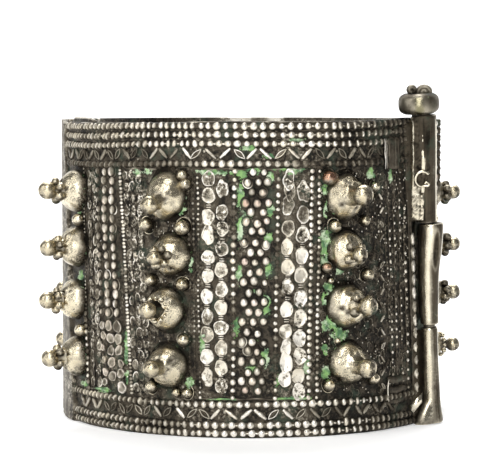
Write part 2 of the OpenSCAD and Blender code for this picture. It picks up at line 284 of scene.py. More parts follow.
class Metal:
    """Metal soldered into one piece, gathered as points, faces and what the finish needs at each point.

    The finish's marks are wear, from sooty to bright, which also carries painted highlights and painted shade,
    tone, from white to warm, copper, and moss, the residue.
    """

    def __init__(self):
        self.points, self.quads, self.tris, self.count = [], [], [], 0
        self.marks = {"wear": [], "tone": [], "copper": [], "moss": []}

    def add(self, points, quads, tris, wear=0.5, tone=0.5, copper=0.0, moss=None):
        points = points.reshape(-1, 3)
        if moss is None:
            az = np.degrees(np.arctan2(points[:, 0], -points[:, 1]))
            lift = np.hypot(points[:, 0], points[:, 1]) - GROUND_R
            moss = residue(az, points[:, 2]) * (1 - 0.6 * smooth(lift, 0.15, 0.55))
        for name, value in zip(self.marks, (wear, tone, copper, moss)):
            self.marks[name].append(np.broadcast_to(np.asarray(value, float).reshape(-1), len(points)))
        self.points.append(points)
        self.quads.append(quads + self.count)
        self.tris.append(tris + self.count)
        self.count += len(points)

    def grid(self, sections, caps=True, **marks):
        """Skin over closed sections of like points, shape (sections, points, 3); caps close both ends."""
        sections = np.asarray(sections, float)
        m, k = sections.shape[:2]
        i, j = np.meshgrid(np.arange(m - 1) * k, np.arange(k), indexing="ij")
        after = (j + 1) % k
        quads = np.stack([i + j, i + after, i + k + after, i + k + j], -1).reshape(-1, 4)
        points, tris = sections.reshape(-1, 3), np.zeros((0, 3), int)
        marks = {name: np.asarray(value, float).reshape(-1) for name, value in marks.items()}
        if caps:
            points = np.concatenate([points, [sections[0].mean(0), sections[-1].mean(0)]])
            a, b = np.arange(k), (np.arange(k) + 1) % k
            foot = np.stack([np.full(k, m * k), b, a], -1)
            top = np.stack([np.full(k, m * k + 1), (m - 1) * k + a, (m - 1) * k + b], -1)
            tris = np.concatenate([foot, top])
            for name, value in marks.items():
                if len(value) > 1:
                    marks[name] = np.concatenate([value, [value[:k].mean(), value[-k:].mean()]])
        self.add(points, quads, tris, **marks)

    def stamp(self, template, place, **marks):
        """Copies of a template; place gives their points in position, shape (copies, points, 3)."""
        copies, points = place.shape[:2]
        shift = (np.arange(copies) * points)[:, None, None]
        marks = {name: np.broadcast_to(value, (copies, points)) for name, value in marks.items()}
        self.add(place, (template[1] + shift).reshape(-1, 4), (template[2] + shift).reshape(-1, 3), **marks)

    def piece(self, name, finish, body, slot, *replaced):
        mesh = bpy.data.meshes.new(name)
        faces = [face for part in self.quads + self.tris for face in part.tolist()]
        mesh.from_pydata((np.concatenate(self.points) * MM).tolist(), [], faces)
        for mark, values in self.marks.items():
            layer = mesh.attributes.new(mark, "FLOAT", "POINT")
            layer.data.foreach_set("value", np.concatenate(values).astype(np.float32))
        shape = bmesh.new()
        shape.from_mesh(mesh)
        bmesh.ops.recalc_face_normals(shape, faces=shape.faces)
        shape.to_mesh(mesh)
        shape.free()
        mesh.shade_smooth()
        mesh.materials.append(finish)
        thing = bpy.data.objects.new(name, mesh)
        bpy.context.scene.collection.objects.link(thing)
        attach(thing, body)
        if replaced:
            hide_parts(*replaced)


def lathe(profile, sides, closed=False):
    """Template turned from (radius, height) points: points, quads and tris; a radius of 0 is one point."""
    points, rows, quads, tris = [], [], [], []
    for r, h in profile:
        turn = turns(sides) if r else [0.0]
        rows.append(list(range(len(points), len(points) + len(turn))))
        points.extend((r * math.cos(t), r * math.sin(t), h) for t in turn)
    if closed:
        rows.append(rows[0])
    for low, high in zip(rows, rows[1:]):
        for j in range(sides):
            k = (j + 1) % sides
            if len(low) == 1:
                tris.append((low[0], high[k], high[j]))
            elif len(high) == 1:
                tris.append((low[j], low[k], high[0]))
            else:
                quads.append((low[j], low[k], high[k], high[j]))
    return np.array(points), np.array(quads, int).reshape(-1, 4), np.array(tris, int).reshape(-1, 3)


def ball_template(sides, rings):
    angles = np.linspace(math.pi, 0, rings + 1)
    return lathe([(0 if i in (0, rings) else math.sin(a), math.cos(a)) for i, a in enumerate(angles)], sides)


def ring_template(thick, sides, round_sides):
    profile = [(1 + thick * math.cos(t), thick * math.sin(t)) for t in turns(round_sides)]
    return lathe(profile, sides, closed=True)


BEAD = ball_template(12, 7)
SMALL_BEAD = ball_template(10, 6)
GRAIN = ball_template(6, 4)
BIG_BALL = ball_template(24, 14)
MID_BALL = ball_template(14, 9)
LOOP = ring_template(0.2, 16, 6)
FINE_LOOP = ring_template(0.08, 24, 5)
# Low dark skirt stamped under granules: painted shade round their feet.
SHADE_SKIRT = lathe([(0, 0.16), (1.1, 0.13), (1.6, -0.15)], 12)
# Ring stamped round bosses and balls as a painted contact shadow.
SHADOW_RING = lathe([(0.9, 0.3), (1.06, 0.16), (1.3, -0.14)], 32)
DISC = lathe(
    [(0, -0.4), (0.92, -0.4), (1.03, 0.3), (1, 0.82), (0.93, 1), (0.84, 0.84), (0.5, 0.66), (0, 0.62)], 20
)


def spread(template, az, z, *values):
    """Angles, heights and values as columns with a row for each copy, and the template's points as rows."""
    az, z = np.broadcast_arrays(np.asarray(az, float).reshape(-1), np.asarray(z, float).reshape(-1))
    return [np.broadcast_to(value, az.shape)[:, None] for value in (az, z, *values)], template[0].T[:, None]


def waver(r, n):
    """Maker of sine waves with a random phase for each of n copies."""
    return lambda angle: np.sin(angle + r.uniform(0, 6, (n, 1)))


def beads(
    metal, az, z, across, tall, high, lift, seed, template=BEAD, bright=1.0, copper=0.0, dull=0.4, lean=0.0,
    painted_sliver=0.0, bare=0.0, warm=0.0,
):
    """Many hand-made beads on the band: half sizes across, up and outwards, centres lifted off the ground.

    bright and dull are the wear of a bead's top and sides, lean tilts beads in radians, sliver narrows the
    bright part to an upright line, a painted highlight, bare widens it down the sides, and warm makes a bead
    yellower.
    """
    values = across, tall, high, lift, bright, copper, dull, lean, painted_sliver, bare, warm
    (az, z, *values), (u, v, w) = spread(template, az, z, *values)
    across, tall, high, lift, bright, copper, dull, lean, painted_sliver, bare, warm = values
    r, n = rng(seed), len(az)
    wave = waver(r, n)
    uneven = 1 + 0.045 * wave(u * 4) + 0.045 * wave(v * 4)
    spin = r.uniform(-0.2, 0.2, (n, 1)) + lean
    uneven = uneven * r.normal(1, 0.06, (n, 1))
    wide, long = u * across * uneven, v * tall * uneven
    beside = wide * np.cos(spin) - long * np.sin(spin)
    above = wide * np.sin(spin) + long * np.cos(spin)
    own = bright * r.uniform(0.75, 1.15, (n, 1))
    # Painted highlight: the bright part narrowed to an upright sliver.
    own = own * (1 - painted_sliver + painted_sliver * 1.5 * bell(u, -0.2, 0.35))
    edge = 0.4 - 0.4 * bare
    rubbed = smooth((w - edge) / (0.52 - 0.5 * edge), 0, 1)
    wear = smooth(w, -0.05, 0.25) * part_way(dull, own, rubbed)
    metal.stamp(
        template, on_band(az + beside * ARC_DEG, z + above, lift + w * high), wear=np.clip(wear, 0, 1.2),
        tone=r.uniform(0, 1, (n, 1)) + warm, copper=copper,
    )


def loops(metal, az, z, across, tall, lift, seed, template=LOOP, bright=0.7):
    """Wire rings lying on the band round the granules."""
    (az, z, across, tall, lift, bright), (u, v, w) = spread(template, az, z, across, tall, lift, bright)
    r, n = rng(seed), len(az)
    wave = waver(r, n)
    turn = np.arctan2(v, u)
    wob = 1 + 0.08 * wave(2 * turn)
    points = on_band(az + u * across * wob * ARC_DEG, z + v * tall * wob, lift + w * across)
    own = r.uniform(0.3, 1.1, (n, 1)) * bright
    worn = smooth(w, -0.3 * w.max(), 0.9 * w.max()) * own * (0.6 + 0.5 * wave(turn))
    metal.stamp(template, points, wear=np.clip(worn, 0, 1), tone=r.uniform(0, 1, (n, 1)))


def discs(metal, az, z, across, tall, thick, seed, bright=1.0, face=0.62, rough=0.05, copper=0.0):
    """Flat discs pressed on the band, each a little uneven; face is the wear inside their rims."""
    values = across, tall, thick, bright, face, rough, copper
    (az, z, across, tall, thick, bright, face, rough, copper), (u, v, w) = spread(DISC, az, z, *values)
    r, n = rng(seed), len(az)
    wave = waver(r, n)
    turn = np.arctan2(v, u)
    wob = 1 + rough * (wave(2 * turn) + wave(3 * turn) + wave(5 * turn))
    tilt_u, tilt_v = r.normal(0, 0.09, (n, 1)), r.normal(0, 0.09, (n, 1))
    dent = 0.06 * wave(u * 3) * wave(v * 3)
    high = (w + (u * tilt_u + v * tilt_v + dent) * 2) * thick
    own = bright * r.uniform(0.7, 1.1, (n, 1))
    inside = face * (1 + 0.4 * wave(u * 2.5) * wave(v * 2.5) + 0.14 * u)
    ragged = 1 + 0.3 * wave(2 * turn) * wave(3 * turn)
    wear = smooth(w, 0, 0.5) * own * part_way(inside, ragged, smooth(np.hypot(u, v), 0.78, 0.92))
    metal.stamp(
        DISC, on_band(az + u * across * wob * ARC_DEG, z + v * tall * wob, high), wear=np.clip(wear, 0, 1.1),
        tone=r.uniform(0, 1, (n, 1)), copper=copper,
    )


def swept(path, across, toward, turn, wide, high):
    """Rings round a path, with their half width across and half height toward, at the turns given."""
    beside, above = (np.cos(turn) * wide)[..., None], (np.sin(turn) * high)[..., None]
    return path[:, None] + across[:, None] * beside + toward[:, None] * above


def wire(metal, az, z, lift, half_w, half_h, seed=1, sides=6, bright=1.0, taper=0.0):
    """A wire laid on the band along points, with its half width and half height in mm."""
    az = np.asarray(az, float)
    path, out = on_band(az, z, lift), outward(az)
    side = unit(np.cross(out, unit(np.gradient(path, axis=0))))
    t = np.linspace(0, 1, len(az))
    r = rng(seed)
    uneven = 1 + 0.1 * np.sin(t * len(az) * 1.7 + r.uniform(0, 6))
    slim = uneven * (1 - taper * np.abs(2 * t - 1) ** 3)
    turn = turns(sides)
    rings = swept(path, side, out, turn, (half_w * slim)[:, None], (half_h * slim)[:, None])
    wear = smooth(np.sin(turn), -0.4, 0.6) * np.broadcast_to(bright, az.shape)[:, None]
    metal.grid(rings, wear=wear, tone=r.uniform(0, 1))


def notch(az):
    """Depth of the dent in the back half's upper rim, in mm."""
    return bell(az, 249.8, 1.4, 6)


def sag(az, z):
    """How far the upper border hangs lower towards the hinge and rises towards the clasp, in mm."""
    az = np.asarray(az, float)
    towards_hinge = smooth(-az, 18, 58) * (0.5 - 0.3 * smooth(z, 44, 46.5)) * smooth(-az, 0, 60)
    towards_clasp = smooth(az, 28, 56) * (1 - smooth(az, 64, 74))
    return smooth(z, 39, 41) * (0.45 * towards_clasp - towards_hinge) - notch(az) * smooth(z, 45.5, 46)


def shade_and_dirt_along(az):
    """Brightness of the border beads: full in front, less towards the hinge as painted shade, and darker before
    the clasp as dirt and painted shade.
    """
    az = np.asarray(az, float)
    dirt_and_shade = 0.35 * smooth(az, 10, 30) + 0.4 * smooth(az, 30, 50)
    return 1.05 - 0.26 * smooth(-az, 4, 42) - dirt_and_shade * (1 - smooth(az, 66, 90))


def row_shine(z, az):
    """Brightness of a row's beads: the rows near the foot are brightest, as painted light, and less so left of
    the front; the one just above the panels is darker away from the front, as a painted shadow below the upper
    rows.
    """
    if z < 6:
        return 1.3 * shade_and_dirt_along(az) * (1 - 0.42 * smooth(-az, 8, 20) * (1 - 0.5 * smooth(-az, 36, 48)))
    if z < 42:
        return shade_and_dirt_along(az) * (0.45 + 0.5 * bell(az, -6, 11))
    return shade_and_dirt_along(az)


def bead_places(az_start, az_end):
    """Angles of a border's beads, closer together towards the clasp and the hinge."""
    places = [az_start]
    while places[-1] < az_end - 1:
        beside = float(smooth((places[-1] + 90) % 180 - 90, 8, 48))
        left = float(smooth(-places[-1], 6, 22))
        places.append(places[-1] + (BEAD_PITCH - 0.26 * beside - 0.36 * left) * ARC_DEG)
    return np.array(places)


def border_row(metal, z, az_start, az_end, seed, template=BEAD):
    """Row of touching beads on a low ridge: rubbed in front, darker before the clasp as dirt and painted shade,
    with painted highlight slivers there and near the hinge, leaning near the hinge.
    """
    r = rng(seed)
    az = bead_places(az_start, az_end)
    n = len(az)
    room = np.gradient(az) / ARC_DEG / BEAD_PITCH
    az = az + r.normal(0, 0.12, n)
    drift = 0.12 * np.sin(np.radians(az) * 5 + seed) + r.normal(0, 0.04, n)
    size = BEAD_R * r.normal(1, 0.06, n)
    height = np.minimum(np.where(r.random(n) < 0.5, 1.0, r.uniform(1.0, 1.15, n)) * size, min(0.61, 0.7 * z))
    beside = smooth(-az, 20, 45)
    # Darker before the clasp: dirt and painted shade.
    dirt_and_shade = smooth(az, 16, 36) * (1 - smooth(az, 66, 90))
    rubbed = (1.0 if z < 6 else 0.6) * bell(az, 2, 18, 4)
    wide = size * room * (1 + 0.2 * beside + 0.1 * smooth(-az, 58, 68) + 0.1 * rubbed)
    shine = row_shine(z, az) * (1 + (0.5 if z > 42 else 0.25) * beside)
    beads(
        metal, az, z + sag(az, z) + drift * 0.4, wide, height, size * 0.95, 0.05, seed, template=template,
        bright=shine, dull=0.26 + 0.1 * (beside - dirt_and_shade + rubbed), lean=-0.4 * beside,
        painted_sliver=0.9 * dirt_and_shade + 0.65 * beside, bare=0.8 * rubbed, warm=0.5 * beside - 0.3 * rubbed,
    )
    ridge = np.linspace(az_start, az_end, n * 2)
    swell = 1 + 0.25 * smooth(-ridge, 58, 68)
    shine = 0.14 + 0.1 * smooth(-ridge, 20, 45) + (0.2 if z < 6 else 0.1) * bell(ridge, 2, 18, 4)
    wire(metal, ridge, z + sag(ridge, z), -0.05, 0.5 * swell, 0.3 * swell, seed + 4, bright=shine)
    linked = r.random(n - 1) < 0.3
    between = ((az[1:] + az[:-1]) / 2)[linked]
    shine = 0.9 * row_shine(z, between)
    level = z + sag(between, z)
    beads(metal, between, level, 0.3, 0.14, 0.2, 0.16, seed + 1, template=SMALL_BEAD, bright=shine)


def stroke(metal, az_start, z_start, az_end, z_end, width, seed, bright, hollow):
    """One slanted bit of wire of a zigzag: a flat slat, or a leaf bent from two thin wires."""
    t = np.linspace(0, 1, 8)
    az, z = part_way(az_start, az_end, t), part_way(z_start, z_end, t)
    z = z + sag(az, z)
    bow = np.sin(math.pi * t)
    if not hollow:
        wire(metal, az, z, 0.06, width * (0.55 + 0.45 * bow), 0.3, seed, bright=bright)
        return
    wire(metal, az, z, 0.02, width * 0.8, 0.12, seed, bright=0.35 * bright, taper=0.5)
    run, climb = (az_end - az_start) / ARC_DEG, z_end - z_start
    bow = bow * width / math.hypot(run, climb)
    for side in (-1, 1):
        edge_az, edge_z = az - side * bow * climb * ARC_DEG, z + side * bow * run
        wire(metal, edge_az, edge_z, 0.1, 0.09, 0.22, seed + side, sides=5, bright=bright)


def zigzag(metal, z_foot, z_top, az_start, az_end, seed):
    """Slats and leaves of flattened wire in pairs that meet at their feet, with a ring between some pairs.

    The pairs are widest in the middle of a half.
    """
    r = rng(seed)
    middle, k = az_start + 3, 0
    while middle < az_end - 3:
        reach = 1.6 - 0.42 * float(smooth(abs((middle + 90) % 180 - 90), 6, 38))
        # Dimmer away from the front: painted shade below the upper border.
        bright = shade_and_dirt_along(middle) * (0.8 + 0.25 * smooth(-abs(middle), -22, -4))
        for way in (-1, 1):
            foot = middle + way * 0.22 * ARC_DEG + r.normal(0, 0.15)
            top = foot + way * reach * r.normal(1, 0.08) * ARC_DEG
            ends = z_top + r.normal(0, 0.05), z_foot + r.normal(0, 0.05)
            hollow = r.random() < 0.45
            width, shine = r.uniform(0.3, 0.4), bright * r.uniform(0.6, 1.0)
            stroke(metal, top, ends[0], foot, ends[1], width, seed + 3 * k + way, shine, hollow)
        step = 2 * reach + 1.0 + r.normal(0, 0.12)
        if r.random() < 0.4:
            spot = np.array([middle + step / 2 * ARC_DEG])
            level = z_top - 0.4 + sag(spot, z_top)
            granule(metal, spot, level, 0.24, seed + k, ringed=1.0, bright=bright * 0.7)
        middle += step * ARC_DEG
        k += 1


def bead_wire(metal, az_top, az_foot, z_top, z_foot, pitch, r_bead, seed, bright=1.0, across=1.0, vary=0.5):
    """An upright row of touching beads."""
    r = rng(seed)
    n = int(round((z_top - z_foot) / pitch)) + 1
    t = np.linspace(0, 1, n)
    z = part_way(z_top, z_foot, t) + r.normal(0, 0.04, n)
    az = part_way(az_top, az_foot, t) + 0.1 * np.sin(t * 9 + seed) + r.normal(0, 0.06, n)
    size = r_bead * r.normal(1, 0.09, n)
    shine = bright * np.clip(1 + vary * (np.sin(t * 14 + seed) - 0.5) + r.normal(0, 0.12, n), 0.25, 1.2)
    beads(metal, az, z, size * across, size, size * 0.9, 0.1, seed, template=SMALL_BEAD, bright=shine)
    wire(metal, az, z, 0.0, r_bead * 0.4, r_bead * 0.4, seed, sides=5, bright=0.25)


def shadow_ring(metal, az, z, wide, tall):
    """Dark ring painted on the ground round a boss or a ball: a painted contact shadow."""
    u, v, w = SHADOW_RING[0].T[:, None]
    metal.stamp(SHADOW_RING, on_band(az + u * wide * ARC_DEG, z + v * tall, w), wear=0.02)


def granule(metal, az, z, size, seed, tall=1.0, ringed=0.2, copper=0.0, bright=1.0, painted_sliver=0.0):
    """Granules worn bright on top, dark round the side, each on a dark skirt that paints the shade round its
    foot, some inside a ring of fine wire.
    """
    r = rng(seed + 7)
    size = np.broadcast_to(size, az.shape)
    # Painted shade: a dark skirt round the granule's foot.
    (around, level, pool), (u, v, w) = spread(SHADE_SKIRT, az, z, size)
    place = on_band(around + u * pool * ARC_DEG, level + v * pool * tall, w)
    metal.stamp(SHADE_SKIRT, place, wear=0.1, moss=0.0)
    beads(
        metal, az, z, size, size * tall, size * 0.8, 0.14, seed, bright=bright, copper=copper, dull=0.25,
        painted_sliver=painted_sliver,
    )
    ringed = r.random(len(az)) < ringed
    if ringed.any():
        ring, shine = size[ringed] * 1.15, r.uniform(0.3, 1.0, ringed.sum())
        loops(metal, az[ringed], z[ringed], ring, ring * tall, 0.02, seed + 1, bright=shine)


def granule_field(metal, left, right, z_top, z_foot, pitch, seed, size=0.56, long=3):
    """Rows of granules that fill a panel, one more in every second row.

    left and right give the angles of the outer granules of a long row, at the panel's top and foot.
    """
    r = rng(seed)
    rows = int(round((z_top - z_foot) / pitch)) + 1
    az, z = [], []
    for k in range(rows):
        t = k / (rows - 1)
        start, end = part_way(*left, t), part_way(*right, t)
        step = (end - start) / (long - 1)
        n = long if k % 2 else long - 1
        first = start if k % 2 else start + step / 2
        az += [first + step * j + r.normal(0, 0.2) for j in range(n)]
        z += [part_way(z_top, z_foot, t) + r.normal(0, 0.1) for j in range(n)]
    n = len(az)
    copper = np.where(r.random(n) < 0.1, r.uniform(0.3, 0.7, n), r.uniform(0, 0.22, n))
    size, bright = size * r.normal(1, 0.08, n), r.uniform(0.75, 1.15, n)
    granule(metal, np.array(az), np.array(z), size, seed, tall=1.16, copper=copper, bright=bright)


def granule_columns(metal, seed):
    """Three columns of oval granules that lean towards the foot, and end there in flat discs."""
    for k, (top, foot, size, flat_pitch, flat_size) in enumerate(GRANULE_COLUMNS):
        r = rng(seed + k)
        round_z, flat_z = np.arange(39.2, 17.0, -1.42), np.arange(15.9, 6.4, -flat_pitch)
        n, flats = len(round_z), len(flat_z)
        az = part_way(top, foot, ((39.2 - round_z) / 33) ** 1.7) + r.normal(0, 0.22, n)
        bright = r.uniform(0.9, 1.35, n) * (0.8 if k == 0 else 1)
        z, sizes = round_z + r.normal(0, 0.06, n), size * r.normal(1, 0.08, n)
        copper = r.uniform(0.05, 0.22, n)
        # The oval granules carry painted highlight slivers.
        granule(
            metal, az, z, sizes, seed + 10 * k, tall=1.12, bright=bright, ringed=0.35, copper=copper,
            painted_sliver=0.5,
        )
        az = part_way(top, foot, ((39.2 - flat_z) / 33) ** 1.7) + r.normal(0, 0.25, flats)
        half = flat_size * r.normal(1, 0.08, flats)
        z, copper = flat_z + r.normal(0, 0.1, flats), r.uniform(0, 0.3, flats)
        discs(metal, az, z, half, half * 1.08, 0.42, seed + 40 + k, bright=0.95, face=0.5, copper=copper)


def disc_column(metal, az_top, az_foot, z, seed, across=0.98, tall=1.14, melted=(), faces=0.62):
    """A column of flat discs at given heights, linked by short double bars; some ran together when soldered."""
    r = rng(seed)
    z = np.asarray(z, float)
    n = len(z)
    az = part_way(az_top, az_foot, (z[0] - z) / (z[0] - z[-1])) + r.normal(0, 0.12, n)
    wide, high = across * r.normal(1, 0.04, n), tall * r.normal(1, 0.05, n)
    ran = np.isin(np.arange(n), melted)
    wide, high, rough = wide * np.where(ran, 0.9, 1), high * np.where(ran, 1.25, 1), np.where(ran, 0.08, 0.04)
    uneven_z, bright = z + r.normal(0, 0.08, n), r.uniform(0.85, 1.1, n)
    discs(metal, az, uneven_z, wide, high, 0.42, seed, bright=bright, face=faces, rough=rough)
    for k in range(n - 1):
        if k in melted:
            continue
        reach = az[k] + np.linspace(-0.36, 0.36, 4) * ARC_DEG
        for side in (-1, 1):
            level = (z[k] + z[k + 1]) / 2 + side * 0.17
            wire(metal, reach, level, 0.1, 0.1, 0.2, seed + 40 + k, sides=5, bright=0.8)


def flat_ovals(metal, az_top, az_foot, pitch, half_w, half_h, seed, bright):
    """A column of flat ovals outlined by a fine wire."""
    r = rng(seed)
    n = int((PANEL_TOP - PANEL_FOOT) / pitch)
    t = (np.arange(n) + 0.5) / n
    z = part_way(PANEL_TOP, PANEL_FOOT, t) + r.normal(0, 0.1, n)
    az = part_way(az_top, az_foot, t) + r.normal(0, 0.15, n)
    wide, tall = half_w * r.normal(1, 0.1, n), half_h * r.normal(1, 0.1, n)
    loops(metal, az, z, wide, tall, 0.06, seed, bright=bright * 1.6)
    discs(metal, az, z, half_w * 0.8, half_h * 0.8, 0.16, seed + 1, bright=bright)


def leaves(metal, seed):
    """Short slanted leaves between the studs and the clasp."""
    r = rng(seed)
    for k in range(16):
        z = PANEL_FOOT + 0.8 + k * 2.05
        az = 41.6 + 1.6 * (PANEL_TOP - z) / (PANEL_TOP - PANEL_FOOT) + r.normal(0, 0.2)
        slant = 0.45 if k % 2 else -0.45
        bright = r.uniform(0.35, 0.75)
        stroke(metal, az - 0.7, z - slant, az + 0.7, z + slant, 0.2, seed + k, bright, k % 3 == 0)


def chaff(metal, az_start, az_end, count):
    """Grains and bits of curled wire that cover the dark ground between the studs and the columns."""
    r = rng(int(az_start * 10) + 5000)
    for k in range(count):
        z, az, size = r.uniform(PANEL_FOOT, PANEL_TOP), r.uniform(az_start, az_end), r.uniform(0.2, 0.45)
        turn = np.linspace(0, r.uniform(2, 4.5), 7) + r.uniform(0, 6)
        curl_az, curl_z = az + size * np.cos(turn) * ARC_DEG, z + size * 1.4 * np.sin(turn)
        wire(metal, curl_az, curl_z, 0.0, 0.06, 0.12, 5100 + k, sides=5, bright=r.uniform(0.1, 0.5))
    az, z = r.uniform(az_start, az_end, count), r.uniform(PANEL_FOOT, PANEL_TOP, count)
    wide, tall, bright = r.uniform(0.08, 0.16, count), r.uniform(0.1, 0.2, count), r.uniform(0.3, 1.1, count)
    beads(metal, az, z, wide, tall, 0.15, 0.05, 5200 + count, template=GRAIN, bright=bright)


def scallops(metal):
    """Edge strip of bent leaves in front of the clasp's middle knuckle."""
    t = np.linspace(0, 1, 8)
    for k in range(12):
        z = 29.6 - 2.08 * k - 1.8 * t
        az = clasp_az(z) - 3.3 - 0.7 * np.sin(math.pi * t)
        bright = (0.95, 0.7, 0.85, 0.75)[k % 4]
        wire(metal, az, z, 0.25, 0.46 + 0.05 * (k % 3), 0.5, 1000 + k, bright=bright, taper=0.5)


def clasp_plates(metal):
    """Small plates soldered on beside the clasp, worn through the borders."""
    z = np.linspace(39.6, 44.2, 9)
    wire(metal, 46.6 + 0 * z, z, 0.3, 1.75, 0.34, 1099, bright=0.2)
    for k, (az, width, bright) in enumerate(PLATE_SCRATCHES):
        line = az - 0.5 * (z - 39.5) / 4.9 + 0.12 * np.sin(z * 2.5 + k)
        wire(metal, line, z, 0.6, width, 0.1, 1100 + k, bright=bright, taper=0.6)
    z = np.linspace(6, 46.5, 40)
    for k, (lead, lift) in enumerate(((-5.1, 0.1), (-4.2, 0.2))):
        wire(metal, clasp_az(z) + lead + 0.1 * np.sin(z * 0.9 + k), z, lift, 0.2, 0.22, 1130 + k, bright=0.25)
    az = np.linspace(45.0, 54.0, 14)
    for k, z in enumerate((4.4, 6.0, 7.5)):
        wire(metal, az, z + 0.1 * np.sin(az), 0.1, 0.68, 0.36, 1110 + k, bright=0.17, taper=0.25)
    turn = np.linspace(math.pi * 0.6, math.pi * 1.4, 12)
    az, z = 45.4 + 0.9 * np.cos(turn), 6.0 + 1.8 * np.sin(turn)
    wire(metal, az, z, 0.35, 0.09, 0.2, 1120, bright=0.85, taper=0.6)


def stud_frame(az, z):
    """Foot of a stud on the ground, and the directions along the band and out from it."""
    return outward(az) * GROUND_R + UP * z, outward(az + 90), outward(az)


def lump(metal, centre, side, out, radius, template, seed, uneven=0.05, wear=0.8, painted_streak=0.0, **marks):
    """An uneven ball, darker below as painted shade; streaked paints an upright highlight line, leaves its
    outer side dark as painted shade and paints a thin bright arc at its outer edge.
    """
    u, v, w = template[0].T
    outer = (u * side[0] + w * out[0]) * (1 if centre[0] > 0 else -1)
    # Painted highlight and shade: an upright bright line facing the front, a dark outer side and a thin bright
    # arc at the outer edge, on the side set by the ball's place left or right.
    line = 0.8 * bell(outer, -0.02, 0.28) + 0.5 - 0.5 * smooth(outer, 0.22, 0.4) + smooth(outer, 0.8, 0.88)
    size = (radius * (1 + uneven * hand(u * 2 + w, v * 2 - w, 2.4, seed)))[:, None]
    points = centre + size * (u[:, None] * side + v[:, None] * UP + w[:, None] * out)
    # Darker on the lower side: painted shade.
    wear = part_way(wear, line, painted_streak) - 0.42 * smooth(-v, -0.1, 0.75)
    metal.add(points, template[1], template[2], wear=wear, **marks)


def stud(metal, az, z, wide, tall, tip_r, lean_u, lean_v, balls, seed, worn=1.0):
    """Domed boss with a ball on its tip; small balls, a smooth sleeve or a crater surround the neck.

    worn below 1 makes it darker; the dome carries painted shade round the neck, on its lower side and at its
    foot, and the tip ball a painted highlight.
    """
    r = rng(seed)
    foot, side, out = stud_frame(az, z)
    turn = turns(46)[None]
    climb = np.linspace(-0.3, 1, 24)[:, None]
    rise = np.sin(np.clip(climb, 0, 1) * math.pi / 2)
    width = np.where(climb < 0, 1 + 0.05 * climb, np.sqrt(np.maximum(1 - rise**2, 0)) + 1e-3)
    high = np.where(climb < 0, climb * 2.2, rise * STUD_OUT + (0.55 if balls == 0 else 0.1) * rise**6)
    u, v = width * np.cos(turn) * wide, width * np.sin(turn) * tall
    dents = 0.1 * hand(u + high, v - high, 2.4, seed) + 0.05 * hand(u, v + high, 0.9, seed + 3)
    pits = np.zeros(u.shape)
    for k in range(7):
        pit_u, pit_v, pit_r = r.uniform(-2.4, 2.4), r.uniform(-2.4, 2.4), r.uniform(0.15, 0.45)
        pits = np.maximum(pits, bell(u, pit_u, pit_r) * bell(v, pit_v, pit_r) * r.uniform(0.3, 1))
    scale = 1 + (dents - pits * 0.25) / wide
    u, v, high = u * scale + lean_u * rise * 0.45, v * scale + lean_v * rise * 0.45, high * scale
    skirt = smooth(high, -0.05, 1.3)
    # Painted shade: darker round the neck under the leaning tip and on the dome's lower side; the foot is
    # darker as tarnish and painted shade.
    tip_shade = np.exp(-((u - 0.7 * lean_u) ** 2 + (v - 0.7 * lean_v) ** 2) / 3.2)
    wear = 0.1 + worn * (0.52 * skirt + 0.24 * smooth(high, 0.8, 2.1)) - 0.2 * tip_shade - pits * 0.7
    wear = wear + 0.1 * hand(u, v, 1.3, seed + 5) - 0.12 * smooth(-v / tall, 0.3, 0.9)
    points = foot + u[..., None] * side + v[..., None] * UP + high[..., None] * out
    metal.grid(points, wear=np.clip(wear, 0, 1), tone=r.uniform(0.3, 1), moss=(1 - skirt) * 0.35)
    reach = side * lean_u + UP * lean_v
    tip, neck = foot + out * TIP_OUT + reach, foot + out * NECK_OUT + reach * 0.74
    shadow_ring(metal, az, z, wide, tall)
    sleeve(metal, foot + out * 2.4 + reach * 0.5, tip, side, out, tip_r, balls, seed)
    start = r.uniform(0, 6)
    for k in range(max(balls, 0)):
        t = start + math.tau * k / balls
        around = side * math.cos(t) + UP * math.sin(t)
        at = neck + (0.5 + tip_r * 0.7) * r.normal(1, 0.05) * around + out * r.normal(0.05, 0.1)
        size = 0.66 * r.normal(1, 0.1)
        rubbed = r.uniform(0.5, 0.85) * worn
        lump(metal, at, side, out, size, MID_BALL, seed + k, wear=rubbed, tone=1.0, moss=0.1)
    # Painted highlight streak on the tip ball, stronger on the studs right of the front.
    painted_streak = 0.6 if 0 < az < 60 else 0.3
    lump(
        metal, tip, side, out, tip_r, BIG_BALL, seed + 20, uneven=0.03, wear=1.05 * worn, painted_streak=painted_streak,
        tone=1.1, moss=0.0,
    )


def sleeve(metal, start, end, side, out, tip_r, balls, seed):
    """Neck that carries the tip ball: wide and smooth where it has no small balls, and dark in a crater."""
    wide_foot, waist = {-1: (0.95, 0.62), 0: (0.9, 0.86)}.get(balls, (0.8, 0.7))
    turn, t = turns(24)[None], np.linspace(0, 1, 9)[:, None]
    size = tip_r * (part_way(wide_foot, waist, smooth(t, 0, 0.6)) + 0.22 * (1 - smooth(t, 0, 0.45)))
    size = size * (1 + 0.05 * hand(turn, t * 3, 2.0, seed))
    worn = (0.15 if balls < 0 else 0.65) + 0.15 * np.sin(turn * 2 + seed) + 0 * t
    rings = swept(part_way(start, end, t), side[None], UP[None], turn, size, size)
    metal.grid(rings, wear=worn, tone=0.6, moss=0.0)
    if balls < 0:
        for k in range(0, 24, 2):
            around = math.cos(math.tau * k / 24) * side + math.sin(math.tau * k / 24) * UP
            at, size = start + out * 0.75 + 1.75 * around, 0.34 + 0.1 * math.sin(k * 1.9)
            lump(metal, at, side, out, size, MID_BALL, seed + k, wear=0.85, tone=0.2, moss=0.0)


